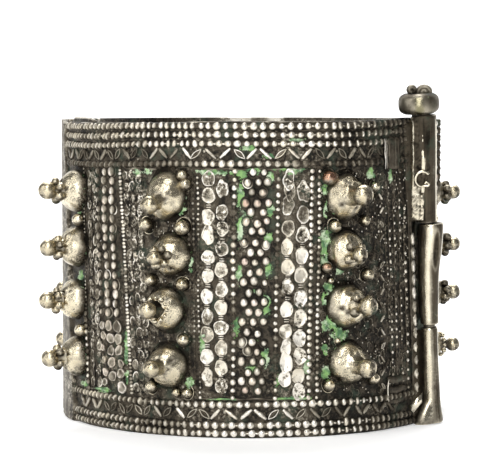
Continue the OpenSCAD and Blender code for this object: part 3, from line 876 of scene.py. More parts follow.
def loose_ball(metal, az, z, radius, copper, seed):
    foot, side, out = stud_frame(az, z)
    at, tone = foot + out * (radius - 0.25), (seed * 0.37) % 1
    lump(metal, at, side, out, radius * 0.97, BIG_BALL, seed, tone=tone, copper=copper, moss=0.0)
    shadow_ring(metal, az, z, radius, radius)
    if seed % 3:
        loops(metal, az, z, radius * 1.22, radius * 1.22, 0.12, seed, template=FINE_LOOP, bright=1.1)


def rim_rise(az, z, depth):
    """Upper rim bent up a little beside the clasp, and its inner sheet above the leftmost studs, in mm."""
    front = np.abs(az) < 88
    parted = (0.42 - 0.9 * smooth(depth, 0.3, 0.7)) * bell(az, -71, 12.5, 4)
    low = 0.25 * smooth(-az, 8, 30) * (1 - smooth(-az, 56, 62)) * smooth(z, 46.3, 46.7)
    raised = smooth(z, 43, 46.5) * 0.4 * smooth(az, 30, 56) + smooth(z, 45.2, 46.6) * parted - low
    return np.where(front, raised, -notch(az) * smooth(z, 44.6, 46.8))


def wall(metal, az_start, az_end, relief, plain, lining, seed):
    """Double-sheet wall as one closed skin; relief gives how far out it may reach beside the clasp's tubes.

    plain lifts a part of the ground, and lining gives the wear of the inner face round the band, including
    painted shade on the back half's.
    """
    z_out = np.append(np.linspace(0.12, BAND_H - 0.3, 95), BAND_H - 0.12)
    rim = [(0.03, 0.9), (0.02, 0.7), (0.55, 0.62), (0.55, 0.3), (0.28, 0.26), (0.2, 0.24)]
    rim += [(0.02, 0.22), (0.03, 0.08)]
    profile = [(z, 1.0) for z in z_out] + [(BAND_H - drop, depth) for drop, depth in rim]
    profile += [(z, 0.0) for z in z_out[::-4]] + [(0.03, 0.08), (0.02, 0.9)]
    z, depth = np.array(profile).T[:, None]
    az = part_way(az_start(z), az_end(z), np.linspace(0, 1, 221)[:, None])
    u = az / ARC_DEG
    outside = GROUND_R + 0.07 * hand(u, z, 6, seed) + 0.035 * hand(u, z, 1.6, seed + 1) + plain(az, z)
    outside = np.minimum(outside, relief(az, z))
    inside = INNER_R + 0.05 + 0.04 * (1 + hand(u, z, 9, seed + 2))
    r = part_way(inside, outside, depth)
    points = outward(az) * r[..., None] + UP * (z + rim_rise(az, z, depth))[..., None]
    parted = bell(az, -70, 11, 4)
    uneven = 0.12 + 0.5 * parted * smooth(az, -79, -75) + 0.1 * hand(u, z * 0, 5, seed + 6)
    ground = 0.17 - 0.05 * smooth(az, -18, -8) - 0.05 * smooth(az, 14, 22)
    beside_panel = 0.15 * (bell(az, 14.5, 6.5, 4) + 0.4 * bell(az, -10, 4.4, 4))
    outer = ground + beside_panel + 0.2 * smooth(r, GROUND_R - 0.05, GROUND_R + 0.5)
    outer = outer + uneven * smooth(z, BAND_H - 0.3, BAND_H - 0.12)
    torn = bell(az, 245, 0.8) * smooth(z, 45.6, 46.2)
    inner_lip = 0.8 * parted * smooth(z, BAND_H - 0.27, BAND_H - 0.2)
    lined = lining(az, z) * (1 - 0.6 * parted) + inner_lip + torn
    wear = np.clip(0.12 * hand(u, z, 2.2, seed + 4) + np.where(depth < 0.35, lined, outer), 0, 1)
    metal.grid(points, wear=wear, moss=residue(az, z) * (depth > 0.5))


def beside_clasp(az, z, spans):
    """Reach allowed by round rooms about the clasp line, each (foot, top, radius)."""
    side = (az - clasp_az(z)) / ARC_DEG
    reach = np.full(side.shape, 99.0)
    for foot, top, radius in spans:
        room = CLASP_R - np.sqrt(np.maximum(radius**2 - side**2, 0))
        inside = (np.abs(side) < radius) & (z > foot) & (z < top)
        reach = np.where(inside, np.minimum(reach, room), reach)
    return reach


def hinge(metal, numbers, way):
    """Some of the hinge's knuckles, by number from the foot, and their webs to the wall that lies that way."""
    out, side = outward(HINGE_AZ), outward(HINGE_AZ + 90)
    outer = HINGE_KNUCKLE_R * np.array([0.93, 1, 1, 1, 0.93])
    r = np.array([*outer, HINGE_BORE_R, HINGE_BORE_R, outer[0]])[:, None]
    for i in numbers:
        foot = HINGE_JOINTS[i] + (HINGE_PLAY if i else HINGE_RIM_PLAY)
        top = HINGE_JOINTS[i + 1] - (HINGE_PLAY if i < 4 else HINGE_RIM_PLAY)
        z = np.array([foot, foot + 0.12, (foot + top) / 2, top - 0.12, top, top, foot, foot])[:, None]
        rings = swept(HINGE_R * out + z * UP, side[None], out[None], turns(36), r, r)
        metal.grid(rings, caps=False, wear=0.45, moss=0.0)
        corners = (foot + 0.03, -1.75), (foot + 0.03, 0.1), (top - 0.03, 0.1), (top - 0.03, -1.75)
        ends = HINGE_AZ + way * np.array([1.9, 2.6, 3.4, 4.2])
        metal.grid([[on_band(az, level, lift) for level, lift in corners] for az in ends], wear=0.3, moss=0.0)


def strip_edge(z):
    """Angle of the edge of the plain strip beside the hinge."""
    return part_way(-66, -76, z / BAND_H)


def front_plain(az, z):
    """Lift of the plain smooth strip beside the hinge over the dark ground."""
    return (GROUND_DEPTH - 0.08) * smooth((strip_edge(z) - az) / ARC_DEG, 0, 0.5)


def front_wall(metal):
    room = (MIDDLE_SPAN[0] - 0.3, MIDDLE_SPAN[1] + 0.3, 2.2)
    wall(
        metal, lambda z: HINGE_AZ + HINGE_EDGE, lambda z: clasp_az(z) - SEAM_EDGE,
        lambda az, z: beside_clasp(az, z, [room]), front_plain, lambda az, z: 0.28, 11,
    )
    hinge(metal, (1, 3), 1)


def back_lining(az, z):
    """Wear of the back half's inner face: brighter at the rim behind the middle, and darker towards the hinge
    as painted shade on the inside of the far wall.
    """
    rubbed = bell(az, 184, 4) + 0.8 * bell(az, 171, 2.5)
    return 0.3 + 0.85 * rubbed * smooth(z, 43.5, 45.8) - 0.22 * smooth(az, 204, 218)


def back_wall(metal):
    rooms = [(LOWER_SPAN[0] - 0.6, LOWER_SPAN[1] + 0.3, 2.5), (UPPER_SPAN[0] - 0.3, UPPER_SPAN[1] + 0.3, 2.3)]
    wall(
        metal, lambda z: clasp_az(z) + SEAM_EDGE, lambda z: HINGE_AZ + 360 - HINGE_EDGE,
        lambda az, z: beside_clasp(az, z, rooms), lambda az, z: 0, back_lining, 23,
    )
    hinge(metal, (0, 2, 4), -1)


def front_borders(metal):
    for k, z in enumerate(BEAD_ROWS):
        border_row(metal, z, float(strip_edge(z)) + 1.6, float(clasp_az(z)) - FRONT_ROW_END, 100 + 7 * k)
    zigzag(metal, *LOW_ZIGZAG, -62, 53, 300)
    zigzag(metal, *HIGH_ZIGZAG, -73, 47, 420)


def back_borders(metal):
    for k, z in enumerate(BEAD_ROWS):
        border_row(metal, z, float(clasp_az(z)) + 5, HINGE_AZ + 360 - HINGE_EDGE - 0.8, 600 + 7 * k, SMALL_BEAD)
    zigzag(metal, *LOW_ZIGZAG, 70, 258, 700)
    zigzag(metal, *HIGH_ZIGZAG, 64, 258, 820)


def front_wires(metal):
    """Bead wires and bits of curled wire of the front, from the hinge to the clasp."""
    for row in HINGE_SIDE_WIRES:
        bead_wire(metal, *row)
    for ground in CHAFF_GROUND:
        chaff(metal, *ground)
    leaves(metal, 931)
    for row in CLASP_SIDE_WIRES:
        bead_wire(metal, *row)
    for k, (z, az_start, az_end) in enumerate(END_WIRES):
        az = np.linspace(az_start, az_end, 40)
        wire(metal, az, z + 0.08 * np.sin(az * 0.7), 0.02, 0.2, 0.16, 960 + k, bright=0.3 + 0.15 * np.sin(az))
    scallops(metal)
    clasp_plates(metal)


def front_granules(metal):
    """The front's middle panel of granules and the leaning columns of oval ones near the hinge."""
    granule_columns(metal, 907)
    granule_field(metal, (-0.7, -2.7), (5.4, 3.2), 39.35, 7.0, 1.47, 921)


def front_discs(metal):
    """Columns of flat discs on both sides of the middle panel, and of outlined ovals beside the studs."""
    for row in OVAL_COLUMNS:
        flat_ovals(metal, *row)
    disc_column(metal, -12.0, -12.3, FIRST_DISCS, 917, melted=(2, 3, 10), faces=FIRST_FACES)
    disc_column(metal, -7.9, -8.4, SECOND_DISCS, 918, melted=(0,), faces=SECOND_FACES)
    disc_column(metal, 11.2, 10.2, THIRD_DISCS, 925, 0.95, 1.25, melted=(0, 1, 2, 9, 10), faces=RIGHT_FACES)
    disc_column(metal, 15.4, 14.1, FOURTH_DISCS, 926, 1.0, 1.3, melted=(0,), faces=RIGHT_FACES[1:])


def front_studs(metal):
    for k, row in enumerate(FRONT_STUDS):
        stud(metal, *row, 5000 + 31 * k)
    for k, row in enumerate(FRONT_BALLS):
        loose_ball(metal, *row, 5600 + k)


def back_wires(metal):
    """Bead wires beside the panels, curled wire round the studs, and a band of bent sheet by the clasp."""
    for middle in BACK_PANELS:
        for side in (-1, 1):
            az = middle + side * 6.6
            bead_wire(metal, az, az, 39.5, 6, 1.1, 0.4, int(middle * 10) + 5 + side)
    for k, az in enumerate(BACK_BEAD_WIRES):
        bead_wire(metal, az, az, 39.5, 6, 1.2, 0.28, 3000 + k, bright=0.7)
    for column in BACK_STUD_COLUMNS:
        chaff(metal, column - 7, column + 7, 60)
    for k in range(9):
        z = 46.9 - 1.2 * k - np.linspace(0, 1.18, 7)
        wire(metal, 86 + 0 * z, z, 0.5, 0.5, 0.62, 3100 + k, bright=0.3, taper=0.25)


def back_granules(metal):
    for middle in BACK_PANELS:
        granule_field(metal, (middle - 4.6,) * 2, (middle + 4.6,) * 2, 39.2, 7, 1.5, int(middle * 10), long=4)


def back_discs(metal):
    for middle in BACK_PANELS[1:]:
        for side in (-1, 1):
            az = middle + side * 9.6
            z = np.linspace(38.2, 8.2, 11) + rng(int(az)).normal(0, 0.12, 11)
            disc_column(metal, az, az, z, 2000 + int(az * 3), melted=(3,))


def back_studs(metal):
    r = rng(6000)
    for az in BACK_STUD_COLUMNS:
        # The first back column's lower worn is painted shade at the band's side.
        worn = 0.7 if az == BACK_STUD_COLUMNS[0] else 0.9
        for k, z in enumerate(BACK_STUD_HEIGHTS):
            tip_r, lean = r.uniform(1.15, 1.27), r.uniform(-0.15, 0.15, 2)
            stud(metal, az, z, 3.05, 3.15, tip_r, *lean, BACK_STUD_BALLS[k], 6100 + az * 7 + k, worn=worn)
        for low, high in zip(BACK_STUD_HEIGHTS, BACK_STUD_HEIGHTS[1:]):
            for side in (-1, 1):
                loose_ball(metal, az + side * 5.3, (low + high) / 2, 0.98, 0.0, 6900 + az + side)


def tube(metal, span, radius, seed, wear, painted_lines, shift=lambda z: 0 * z, polish=lambda z, turn: 0):
    """Knuckle of the clasp: a hammered tube with a bore; radius and shift to the right follow height and turn.

    lines are upright painted highlight lines, dark as painted shade where their wear is below 0, each (turn,
    half width, foot, top, wear); polish adds wear of its own.
    """
    turn, z = turns(56)[None], np.linspace(*span, 64)[:, None]
    edge = np.minimum(smooth(z, span[0], span[0] + 0.3), 1 - smooth(z, span[1] - 0.3, span[1]))
    r_out = radius(z, turn) * (1 + 0.01 * hand(np.cos(turn) * 2, z + np.sin(turn), 3.0, seed))
    r_out = r_out * (0.95 + 0.05 * edge)
    outer = before_clasp(shift(z) + r_out * np.cos(turn), r_out * np.sin(turn), z)
    inner = before_clasp(TUBE_BORE_R * np.cos(turn), TUBE_BORE_R * np.sin(turn), np.array(span[::-1])[:, None])
    worn = wear + 0.1 * hand(np.cos(turn) * 3, z * 0.5, 3, seed + 1) + 0.3 * (1 - edge)
    worn = worn + 0.06 * hand(np.cos(turn) * 8, z * 0.3, 1.6, seed + 2) + polish(z, turn)
    for at, half, foot, top, rubbed in painted_lines:
        worn = worn + rubbed * smooth(z, foot, foot + 2) * (1 - smooth(z, top - 2, top)) * bell(turn, at, half)
    worn = np.clip(worn, 0, 1.1)
    worn = np.concatenate([worn, np.zeros((2, worn.shape[1])), worn[:1]])
    metal.grid(np.concatenate([outer, inner, outer[:1]]), caps=False, wear=worn, moss=0.0)


def plate(metal, span, corners, seed, rough, wear=0.8):
    """Hammered leaf beside a knuckle. corners gives (right, near, wear) points of its section at a height."""
    sections, marks = [], []
    for z in np.linspace(*span, 110):
        ragged = rough * hand(z, 0, 2.6, seed) + rough * 0.7 * hand(z, 0, 0.9, seed + 1)
        right, near, worn = np.array(corners(z)).T
        loose = np.where(np.arange(len(right)) == 0, 1, 0.3)
        sections.append(before_clasp(right + ragged * loose, near + ragged * 0.6, z))
        stain = hand(right * 1.6, z, 1.5, seed + 2) + hand(right * 1.5, z, 0.6, seed + 3)
        marks.append(wear * (worn + 0.5 * np.minimum(worn, 1) * stain))
    metal.grid(sections, wear=marks, moss=0.0)


def upper_leaf(z):
    """Section of the flat leaf that overlaps the upper knuckle: rubbed bright near its foot, with a painted
    highlight along its crease edge near its top.
    """
    left = -2.62 + 0.45 * smooth(z, 31, 47)
    cream = 1 - smooth(z, 36.2, 37.6)
    rubbed = 0.2 + 0.62 * cream
    # Painted highlight along the crease edge between heights 38.6 and 46.8.
    edge = 0.25 + 0.7 * cream + 2.2 * smooth(z, 38.6, 39.6) * (1 - smooth(z, 45.6, 46.8))
    outline = 1.2 + 0.9 * hand(z, 0, 2.2, 36)
    crease = -0.42 - 0.5 * (1 - smooth(z, 31, 41))
    face = [(part_way(left + 0.54, crease, t), 1.44 + 0.34 * t, rubbed) for t in (0, 0.2, 0.4, 0.6, 0.8)]
    return [
        (left, 0.8, outline), (left + 0.1, 1.27, outline), (left + 0.42, 1.42, outline), *face,
        (crease, 1.84, edge), (crease + 0.28, 1.8, edge), (crease + 0.44, 1.4, 0.1), (-0.9, 0.6, 0.1),
        (left + 0.3, 0.15, 0.1),
    ]


def upper_r(z, turn):
    return 1.6 + 0.32 * smooth(z, 32, 47) + 0 * turn


def oval_dent(z, turn):
    """The middle knuckle's oval dent and the burr round it, each from 0 to 1."""
    apart = np.hypot((z - 27.2) / 2.9, (turn - 1.1 - 0.03 * (z - 27.2)) / 0.34)
    return 1 - smooth(apart, 0.6, 1.0), bell(apart, 1.1, 0.16)


def middle_r(z, turn):
    """Middle knuckle's radius: it widens upwards and has an oval dent on its right."""
    dent, burr = oval_dent(z, turn)
    return 1.42 + 0.45 * smooth(z, 16, 31) - 0.16 * dent + 0.04 * burr


def middle_polish(z, turn):
    dent, burr = oval_dent(z, turn)
    return 0.2 * burr - 0.2 * dent


def middle_shift(z):
    return 0.08 + 0.62 * smooth(z, 22, 31)


def lower_r(z, turn):
    """Lower knuckle's radius: its foot widens and flares out over the border at its left."""
    flare = 1.8 * (1 - smooth(z, 0.2, 4.4)) * np.clip(np.cos(turn - 2.45), 0, 1) ** 5
    return 1.48 - 0.2 * smooth(z, 0, 13) + 0.3 * (1 - smooth(z, 0, 4)) + flare


def web(metal, span, way):
    """Sheet that joins a knuckle to the wall's end; way is -1 towards the front half and 1 towards the back."""
    side, out = np.array([(0.95, -0.6), (2.6, -1.6), (3.2, -3.4), (0.95, -1.7)]).T
    z = np.linspace(span[0] + 0.25, min(span[1], BAND_H) - 0.25, 24)[:, None]
    metal.grid(at_clasp(way * side, out, z), wear=0.15, moss=0.1)


def fold(metal):
    """Bright bent corner of sheet below the scallops."""
    corners = [(-3.85, 4.15, 3.55), (-1.6, 3.95, 5.5), (-1.75, 4.07, 4.1), (-3.05, 4.25, 2.55)]
    right, near, z = np.array(corners).T
    faces = [before_clasp(right, near, z), before_clasp(right, near - 0.35, z)]
    metal.grid(faces, wear=1.2, tone=0.2, moss=0.0)


def chain_ring(metal):
    """Small open wire ring lying on the upper knuckle, its end bent back to a hook."""
    open_at = np.radians(np.linspace(35, 290, 40))
    hook = np.radians(np.linspace(-60, 165, 14))
    right = np.concatenate([1.12 * np.cos(open_at), 0.62 + 0.3 * np.cos(hook)])
    z = 38.15 + np.concatenate([1.15 * np.sin(open_at), 0.3 * np.sin(hook) - 0.84])
    path = before_clasp(right - 0.62, 2.1 + 0.1 * np.sin(np.linspace(0, 6, len(z))), z)
    toward = np.array([[0, -1.0, 0]])
    across = unit(np.cross(toward, unit(np.gradient(path, axis=0))))
    thick = (0.25 * np.clip(np.linspace(1.15, 0.65, len(z)), 0.6, 1))[:, None]
    metal.grid(swept(path, across, toward, turns(10), thick, thick), wear=0.9, tone=0.3, moss=0.0)


def front_clasp(metal):
    # The lines given to the tubes are painted highlights; the upper tube's line with negative wear is painted
    # shade.
    tube(metal, UPPER_SPAN, upper_r, 31, 0.19, ((0.42, 0.16, 30, 48, 0.7), (-0.15, 0.35, 30, 49, -0.3)))
    tube(metal, LOWER_SPAN, lower_r, 33, 0.32, ((1.8, 0.34, 0, 17, 0.8), (0.3, 0.12, 0, 17, 0.35)))
    plate(metal, (31.8, 47.45), upper_leaf, 35, 0.09)
    chain_ring(metal)
    fold(metal)
    web(metal, UPPER_SPAN, -1)
    web(metal, LOWER_SPAN, -1)


def back_clasp(metal):
    # Painted highlight lines on the middle knuckle.
    painted_lines = ((1.85, 0.36, 14, 33, 0.75), (0.3, 0.14, 14, 33, 0.5))
    tube(metal, MIDDLE_SPAN, middle_r, 41, 0.28, painted_lines, shift=middle_shift, polish=middle_polish)
    web(metal, MIDDLE_SPAN, 1)


def arch(metal, path, radius, flat):
    """Flattened wire bent along points that lie in an upright plane."""
    run = unit(np.gradient(path, axis=0))
    toward = unit(np.cross(np.cross(run, [0, -1.0, 0]), run))
    metal.grid(swept(path, np.cross(toward, run), toward, turns(12), radius, radius / flat), wear=0.4, moss=0.0)


def bent_pin(metal):
    """Rod of the clasp pin with the bent wire at its top: an arch and the curled end beside it."""
    foot, top = LOWER_SPAN[0] + 0.25, COLLAR_FOOT + COLLAR_H
    turn = turns(24)[None]
    z = np.array([foot, foot + 0.15, foot + 0.4, (foot + top) / 2, top - 0.2, top])[:, None]
    r = np.array([0.45, 0.72, 0.84, 0.84, 0.84, 0.8])[:, None]
    metal.grid(before_clasp(r * np.cos(turn), r * np.sin(turn), z), wear=0.35, moss=0.0)
    bend = np.radians(np.linspace(-20, 200, 26))
    for size, near in ((1.0, 0.0), (0.55, -0.25), (0.3, 0.1)):
        right, z = 0.1 + 0.9 * size * np.cos(bend), top + 0.12 + 0.76 * size * np.sin(bend)
        arch(metal, before_clasp(right, near + 0.05 * np.sin(bend * 3), z), 0.4, 0.7)
    curl = np.radians(np.linspace(-60, 250, 26))
    right, z = -1.78 + 0.4 * np.cos(curl), top + 0.55 + 0.36 * np.sin(curl)
    arch(metal, before_clasp(right, 0.35 * np.sin(curl * 0.5), z), 0.42, 0.6)


def collar(metal):
    """Thick hammered ring under the pin's eye, a barrel with round edges, a little askew."""
    turn = turns(56)[None]
    bulge = np.linspace(-0.5, 0.5, 19)
    profile = [(COLLAR_R - 0.75 * abs(2 * b) ** 5 - 0.22 * (2 * b) ** 2, b) for b in bulge]
    profile += [(1.5, 0.5), (1.42, 0.46), (1.42, -0.46), (1.5, -0.5)]
    r, h = np.array(profile).T[..., None]
    h = h * COLLAR_H
    outside = r > 1.6
    r = r * (1 + 0.018 * hand(np.cos(turn) * 3, np.sin(turn) * 3 + h, 3.2, 61) * outside)
    z = COLLAR_FOOT + COLLAR_H / 2 + h * 0.98 + 0.012 * r * np.cos(turn)
    aside = np.where(outside, COLLAR_SHIFT + 0.3, COLLAR_SHIFT)
    points = before_clasp(r * np.cos(turn) - aside, r * np.sin(turn), z)
    # Painted highlights: a streak facing the front and a softer one to its left; the top is darkened as painted
    # shade.
    rubbed = 0.42 * bell(turn, 1.62, 0.36) + 0.2 * bell(turn, 2.5, 0.3)
    worn = 0.34 + rubbed + 0.04 * hand(turn * 2, h, 2, 62) - 0.3 * smooth(h, 1.0, 1.5)
    worn = np.where(outside, worn, 0.1)
    points, worn = np.concatenate([points, points[:1]]), np.concatenate([worn, worn[:1]])
    metal.grid(points, caps=False, wear=worn, tone=0.7, moss=0.12)


class Socket:
    """A value in a material's nodes. Sums and products on it add Math nodes."""

    def __init__(self, finish, out):
        self.finish, self.out = finish, out

    def __add__(self, other):
        return self.finish.math("ADD", self, other)

    def __sub__(self, other):
        return self.finish.math("SUBTRACT", self, other)

    def __rsub__(self, other):
        return self.finish.math("SUBTRACT", other, self)

    def __mul__(self, other):
        return self.finish.math("MULTIPLY", self, other)

    __radd__ = __add__
    __rmul__ = __mul__

    def between(self, low, high, start=0.0, end=1.0):
        """This value mapped smoothly from low..high to start..end."""
        return self.finish.node(
            "ShaderNodeMapRange", {"interpolation_type": "SMOOTHSTEP"},
            {"Value": self, "From Min": low, "From Max": high, "To Min": start, "To Max": end},
        )


class Finish:
    """A procedural material whose nodes are made from code."""

    def __init__(self, name):
        self.material = bpy.data.materials.new(name)
        self.material.use_nodes = True
        self.nodes = self.material.node_tree.nodes
        self.links = self.material.node_tree.links

    def plug(self, target, value):
        if isinstance(value, Socket):
            self.links.new(value.out, target)
        else:
            target.default_value = value

    def node(self, kind, settings=None, inputs=None, output=0):
        made = self.nodes.new(kind)
        for key, value in (settings or {}).items():
            setattr(made, key, value)
        for key, value in (inputs or {}).items():
            self.plug(made.inputs[key], value)
        return Socket(self, made.outputs[output])

    def math(self, operation, *values):
        return self.node("ShaderNodeMath", {"operation": operation}, dict(enumerate(values)))

    def mark(self, name):
        """A value that the mesh carries at each point."""
        return self.node("ShaderNodeAttribute", {"attribute_name": name}, output="Fac")

    def noise(self, scale, detail=3.0, rough=0.55, shift=0.0):
        place = self.node("ShaderNodeTexCoord", output="Object")
        if shift:
            aside = (shift, shift, shift)
            place = self.node("ShaderNodeVectorMath", {"operation": "ADD"}, {0: place, 1: aside})
        inputs = {"Vector": place, "Scale": scale, "Detail": detail, "Roughness": rough}
        return self.node("ShaderNodeTexNoise", {}, inputs, "Fac")

    def mix(self, factor, a, b):
        inputs = {0: factor}
        for slot, colour in ((6, a), (7, b)):
            inputs[slot] = colour if isinstance(colour, Socket) else (*colour, 1.0)
        return self.node("ShaderNodeMix", {"data_type": "RGBA", "clamp_factor": True}, inputs, 2)

    def bump(self, height, distance, strength=1.0, normal=None):
        inputs = {"Height": height, "Distance": distance, "Strength": strength}
        if normal is not None:
            inputs["Normal"] = normal
        return self.node("ShaderNodeBump", {}, inputs)

    def surface(self, **values):
        for name, value in values.items():
            self.plug(self.nodes["Principled BSDF"].inputs[name.replace("_", " ")], value)
        return self.material


# The darkest colour also paints the painted shadows, and the worn silver the painted highlights.
SOOT_AND_SHADE = (0.014, 0.012, 0.009)
BROWN_TARNISH = (0.085, 0.070, 0.050)
GREY_SILVER = (0.30, 0.27, 0.21)
WORN_SILVER_AND_HIGHLIGHT = (0.90, 0.86, 0.79)
WARM_SILVER = (0.69, 0.62, 0.48)
COPPER = (0.53, 0.30, 0.20)
TEAL_STAIN = (0.075, 0.105, 0.075)
MOSS_GREEN = (0.09, 0.20, 0.09)
LEAF_GREEN = (0.26, 0.46, 0.16)
PALE_GREEN = (0.54, 0.66, 0.45)


def tarnished(
    name, bright=WORN_SILVER_AND_HIGHLIGHT, warm=WARM_SILVER, shine=0.3, grain=1600.0, patchy=0.5, speckle=0.5, metallic=0.75,
    dent=0.16, waves=0.00012,
):
    """Old silver, from sooty where the wear mark is 0, over brown and grey, to bright where it is 1; the mark
    also carries painted highlights and painted shade, which these colours paint too.

    grain is the scale of the speckle; patchy and speckle are how much blotches and speckle change the wear,
    and dent and waves are how deep the fine and the broad relief are.
    """
    f = Finish(name)
    blotch = f.noise(420.0, 4.0)
    fine = f.noise(grain, 4.0, 0.65, 0.3)
    pitted = f.noise(260.0, 3.0, 0.6, 5.2).between(0.42, 0.6, 0.45, 1.5)
    wear = f.mark("wear") + (blotch - 0.5) * patchy + (fine - 0.5) * pitted * speckle
    light = f.mix(f.mark("tone") * 0.7 + (blotch - 0.45) * 1.2, bright, warm)
    light = f.mix(f.mark("copper"), light, COPPER)
    colour = f.mix(wear.between(0.0, 0.26), SOOT_AND_SHADE, BROWN_TARNISH)
    colour = f.mix(wear.between(0.26, 0.55), colour, GREY_SILVER)
    mask = wear.between(0.5, 0.85)
    colour = f.mix(mask, colour, light)
    stain = f.noise(300.0, 4.0, 0.6, 3.1).between(0.52, 0.68) * wear.between(0.1, 0.5, 1.0, 0.0)
    colour = f.mix(stain * 0.55, colour, TEAL_STAIN)
    ragged = f.noise(1300.0, 4.0, 0.7, 1.1)
    crust = (f.mark("moss") * 1.1 + (ragged - 0.5) * 2.2 - mask * 0.6).between(0.5, 0.66)
    green = f.mix(f.noise(900.0, 3.0, 0.5, 2.0).between(0.38, 0.62), MOSS_GREEN, LEAF_GREEN)
    green = f.mix(f.noise(700.0, 4.0, 0.6, 4.0).between(0.46, 0.64), green, PALE_GREEN)
    relief = f.bump(fine, dent / grain)
    relief = f.bump(blotch, waves, 1.0, relief)
    return f.surface(
        Base_Color=f.mix(crust, colour, green),
        Metallic=(1.0 - crust) * metallic,
        Roughness=wear.between(0.1, 0.95, 0.55, shine) + (fine - 0.5) * 0.25 + crust * 0.3,
        Normal=f.bump(crust, 0.0002, 0.6, relief),
    )


def make_finishes():
    return {
        "ground": tarnished("blackened_ground", grain=2200.0, speckle=1.3, dent=0.6),
        "beads": tarnished("worn_bead_silver"),
        "discs": tarnished("flat_disc_silver", shine=0.32, metallic=0.7, grain=2200.0, patchy=1.1, speckle=2.2),
        "studs": tarnished(
            "domed_stud_silver", (0.83, 0.75, 0.57), (0.53, 0.46, 0.32), shine=0.2, grain=3600.0, speckle=1.3,
            metallic=1.0, dent=0.2, waves=0.00003,
        ),
        "clasp": tarnished(
            "clasp_silver", (0.78, 0.72, 0.58), (0.44, 0.39, 0.27), shine=0.19, grain=2400.0, patchy=0.2,
            speckle=0.35, metallic=1.0, dent=0.1, waves=0.00002,
        ),
        "pin": tarnished("dark_pin_silver", (0.2, 0.17, 0.12), (0.13, 0.11, 0.075), shine=0.22, speckle=0.3),
        "collar": tarnished(
            "collar_silver", (0.24, 0.22, 0.13), (0.14, 0.125, 0.065), shine=0.15, grain=2400.0, patchy=0.06,
            speckle=0.2, metallic=1.0, dent=0.08, waves=0.00002,
        ),
    }


def set_camera():
    """The photograph's viewpoint: low in front, level with the rim's upper edge."""
    focal_px, width_px, tilt = 2212.0, 500.0, 3.67
    camera = bpy.data.cameras.new("viewpoint")
    camera.sensor_width = 36.0
    camera.lens = focal_px / width_px * camera.sensor_width
    camera.clip_start = 0.01
    holder = bpy.data.objects.new("viewpoint", camera)
    holder.location = (0, -0.354, 0.0507)
    holder.rotation_euler = (math.radians(90 - tilt), 0, 0)
    bpy.context.scene.collection.objects.link(holder)
    bpy.context.scene.camera = holder


def set_stage():
    """White table that curves up into a backdrop."""
    width, front, back, rise, bend = 3.0, -1.2, 0.9, 1.6, 0.5
    line = [(front, 0.0), (back - bend, 0.0)]
    for t in np.linspace(0, math.pi / 2, 17)[1:]:
        line.append((back - bend + bend * math.sin(t), bend - bend * math.cos(t)))
    line.append((back, rise))
    points = [(side * width / 2, y, z) for y, z in line for side in (-1, 1)]
    faces = [(2 * k, 2 * k + 1, 2 * k + 3, 2 * k + 2) for k in range(len(line) - 1)]
    mesh = bpy.data.meshes.new("white_table")
    mesh.from_pydata(points, [], faces)
    mesh.shade_smooth()
    paint, glow = (0.86, 0.86, 0.86, 1), (1, 1, 1, 1)
    white = Finish("white_table").surface(
        Base_Color=paint, Roughness=0.75, Emission_Color=glow, Emission_Strength=0.35
    )
    mesh.materials.append(white)
    table = bpy.data.objects.new("white_table", mesh)
    bpy.context.scene.collection.objects.link(table)


def lamp(name, azimuth, distance, height, width, tall, brightness):
    """Soft box aimed at the bangle, as bright over its face as brightness says."""
    light = bpy.data.lights.new(name, "AREA")
    light.shape = "RECTANGLE"
    light.size, light.size_y = width, tall
    light.energy = brightness * width * tall * math.pi
    box = bpy.data.objects.new(name, light)
    box.location = outward(azimuth) * distance + UP * height
    aim = Vector((0, 0, 0.025)) - box.location
    box.rotation_euler = aim.to_track_quat("-Z", "Y").to_euler()
    bpy.context.scene.collection.objects.link(box)


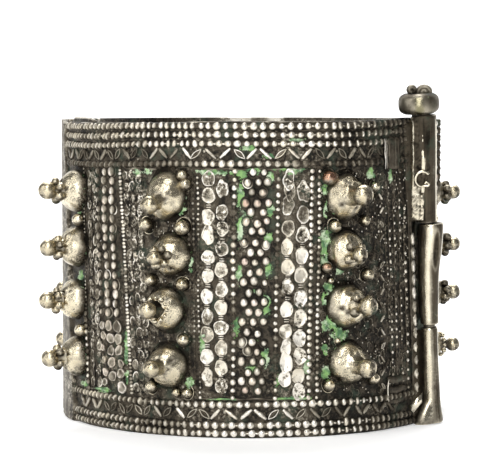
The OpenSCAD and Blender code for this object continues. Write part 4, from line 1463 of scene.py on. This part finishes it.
def set_light():
    world = bpy.data.worlds.new("studio")
    world.use_nodes = True
    background = world.node_tree.nodes["Background"]
    background.inputs["Color"].default_value = (1.0, 0.99, 0.97, 1)
    background.inputs["Strength"].default_value = 0.16
    bpy.context.scene.world = world
    bpy.context.scene.view_settings.view_transform = "Standard"
    lamp("front_window", -4, 0.62, 0.42, 0.26, 1.24, 5.0)
    lamp("left_window", -60, 0.62, 0.30, 0.20, 0.60, 3.2)
    lamp("right_window", 134, 0.60, 0.30, 0.24, 0.60, 1.5)
    lamp("high_window", 180, 0.45, 0.85, 0.7, 0.5, 7.0)


# Each piece: its name, maker, finish, body, slot, and the solid that it stands for
PIECES = [
    ("front_wall", front_wall, "ground", "front", "tarnished_silver", "front_half"),
    ("front_borders", front_borders, "beads", "front", "tarnished_silver"),
    ("front_wires", front_wires, "beads", "front", "tarnished_silver"),
    ("front_granules", front_granules, "beads", "front", "tarnished_silver"),
    ("front_discs", front_discs, "discs", "front", "tarnished_silver"),
    ("front_studs", front_studs, "studs", "front", "tarnished_silver"),
    ("front_clasp", front_clasp, "clasp", "front", "tarnished_silver"),
    ("back_wall", back_wall, "ground", "back", "tarnished_silver", "back_half"),
    ("back_borders", back_borders, "beads", "back", "tarnished_silver"),
    ("back_wires", back_wires, "beads", "back", "tarnished_silver"),
    ("back_granules", back_granules, "beads", "back", "tarnished_silver"),
    ("back_discs", back_discs, "discs", "back", "tarnished_silver"),
    ("back_studs", back_studs, "studs", "back", "tarnished_silver"),
    ("back_clasp", back_clasp, "clasp", "back", "tarnished_silver"),
    ("bent_clasp_pin", bent_pin, "pin", "pin", "pin_silver", "clasp_pin"),
    ("hammered_collar", collar, "collar", "pin", "worn_silver", "pin_collar"),
]


def build():
    set_camera()
    set_stage()
    set_light()
    finish = make_finishes()
    for name, make, look, body, slot, *replaced in PIECES:
        metal = Metal()
        make(metal)
        metal.piece(name, finish[look], body, slot, *replaced)
    hinge_pin = frame["nodes"]["hinge_pin"]
    hinge_pin.data.materials.clear()
    hinge_pin.data.materials.append(finish["pin"])


build()
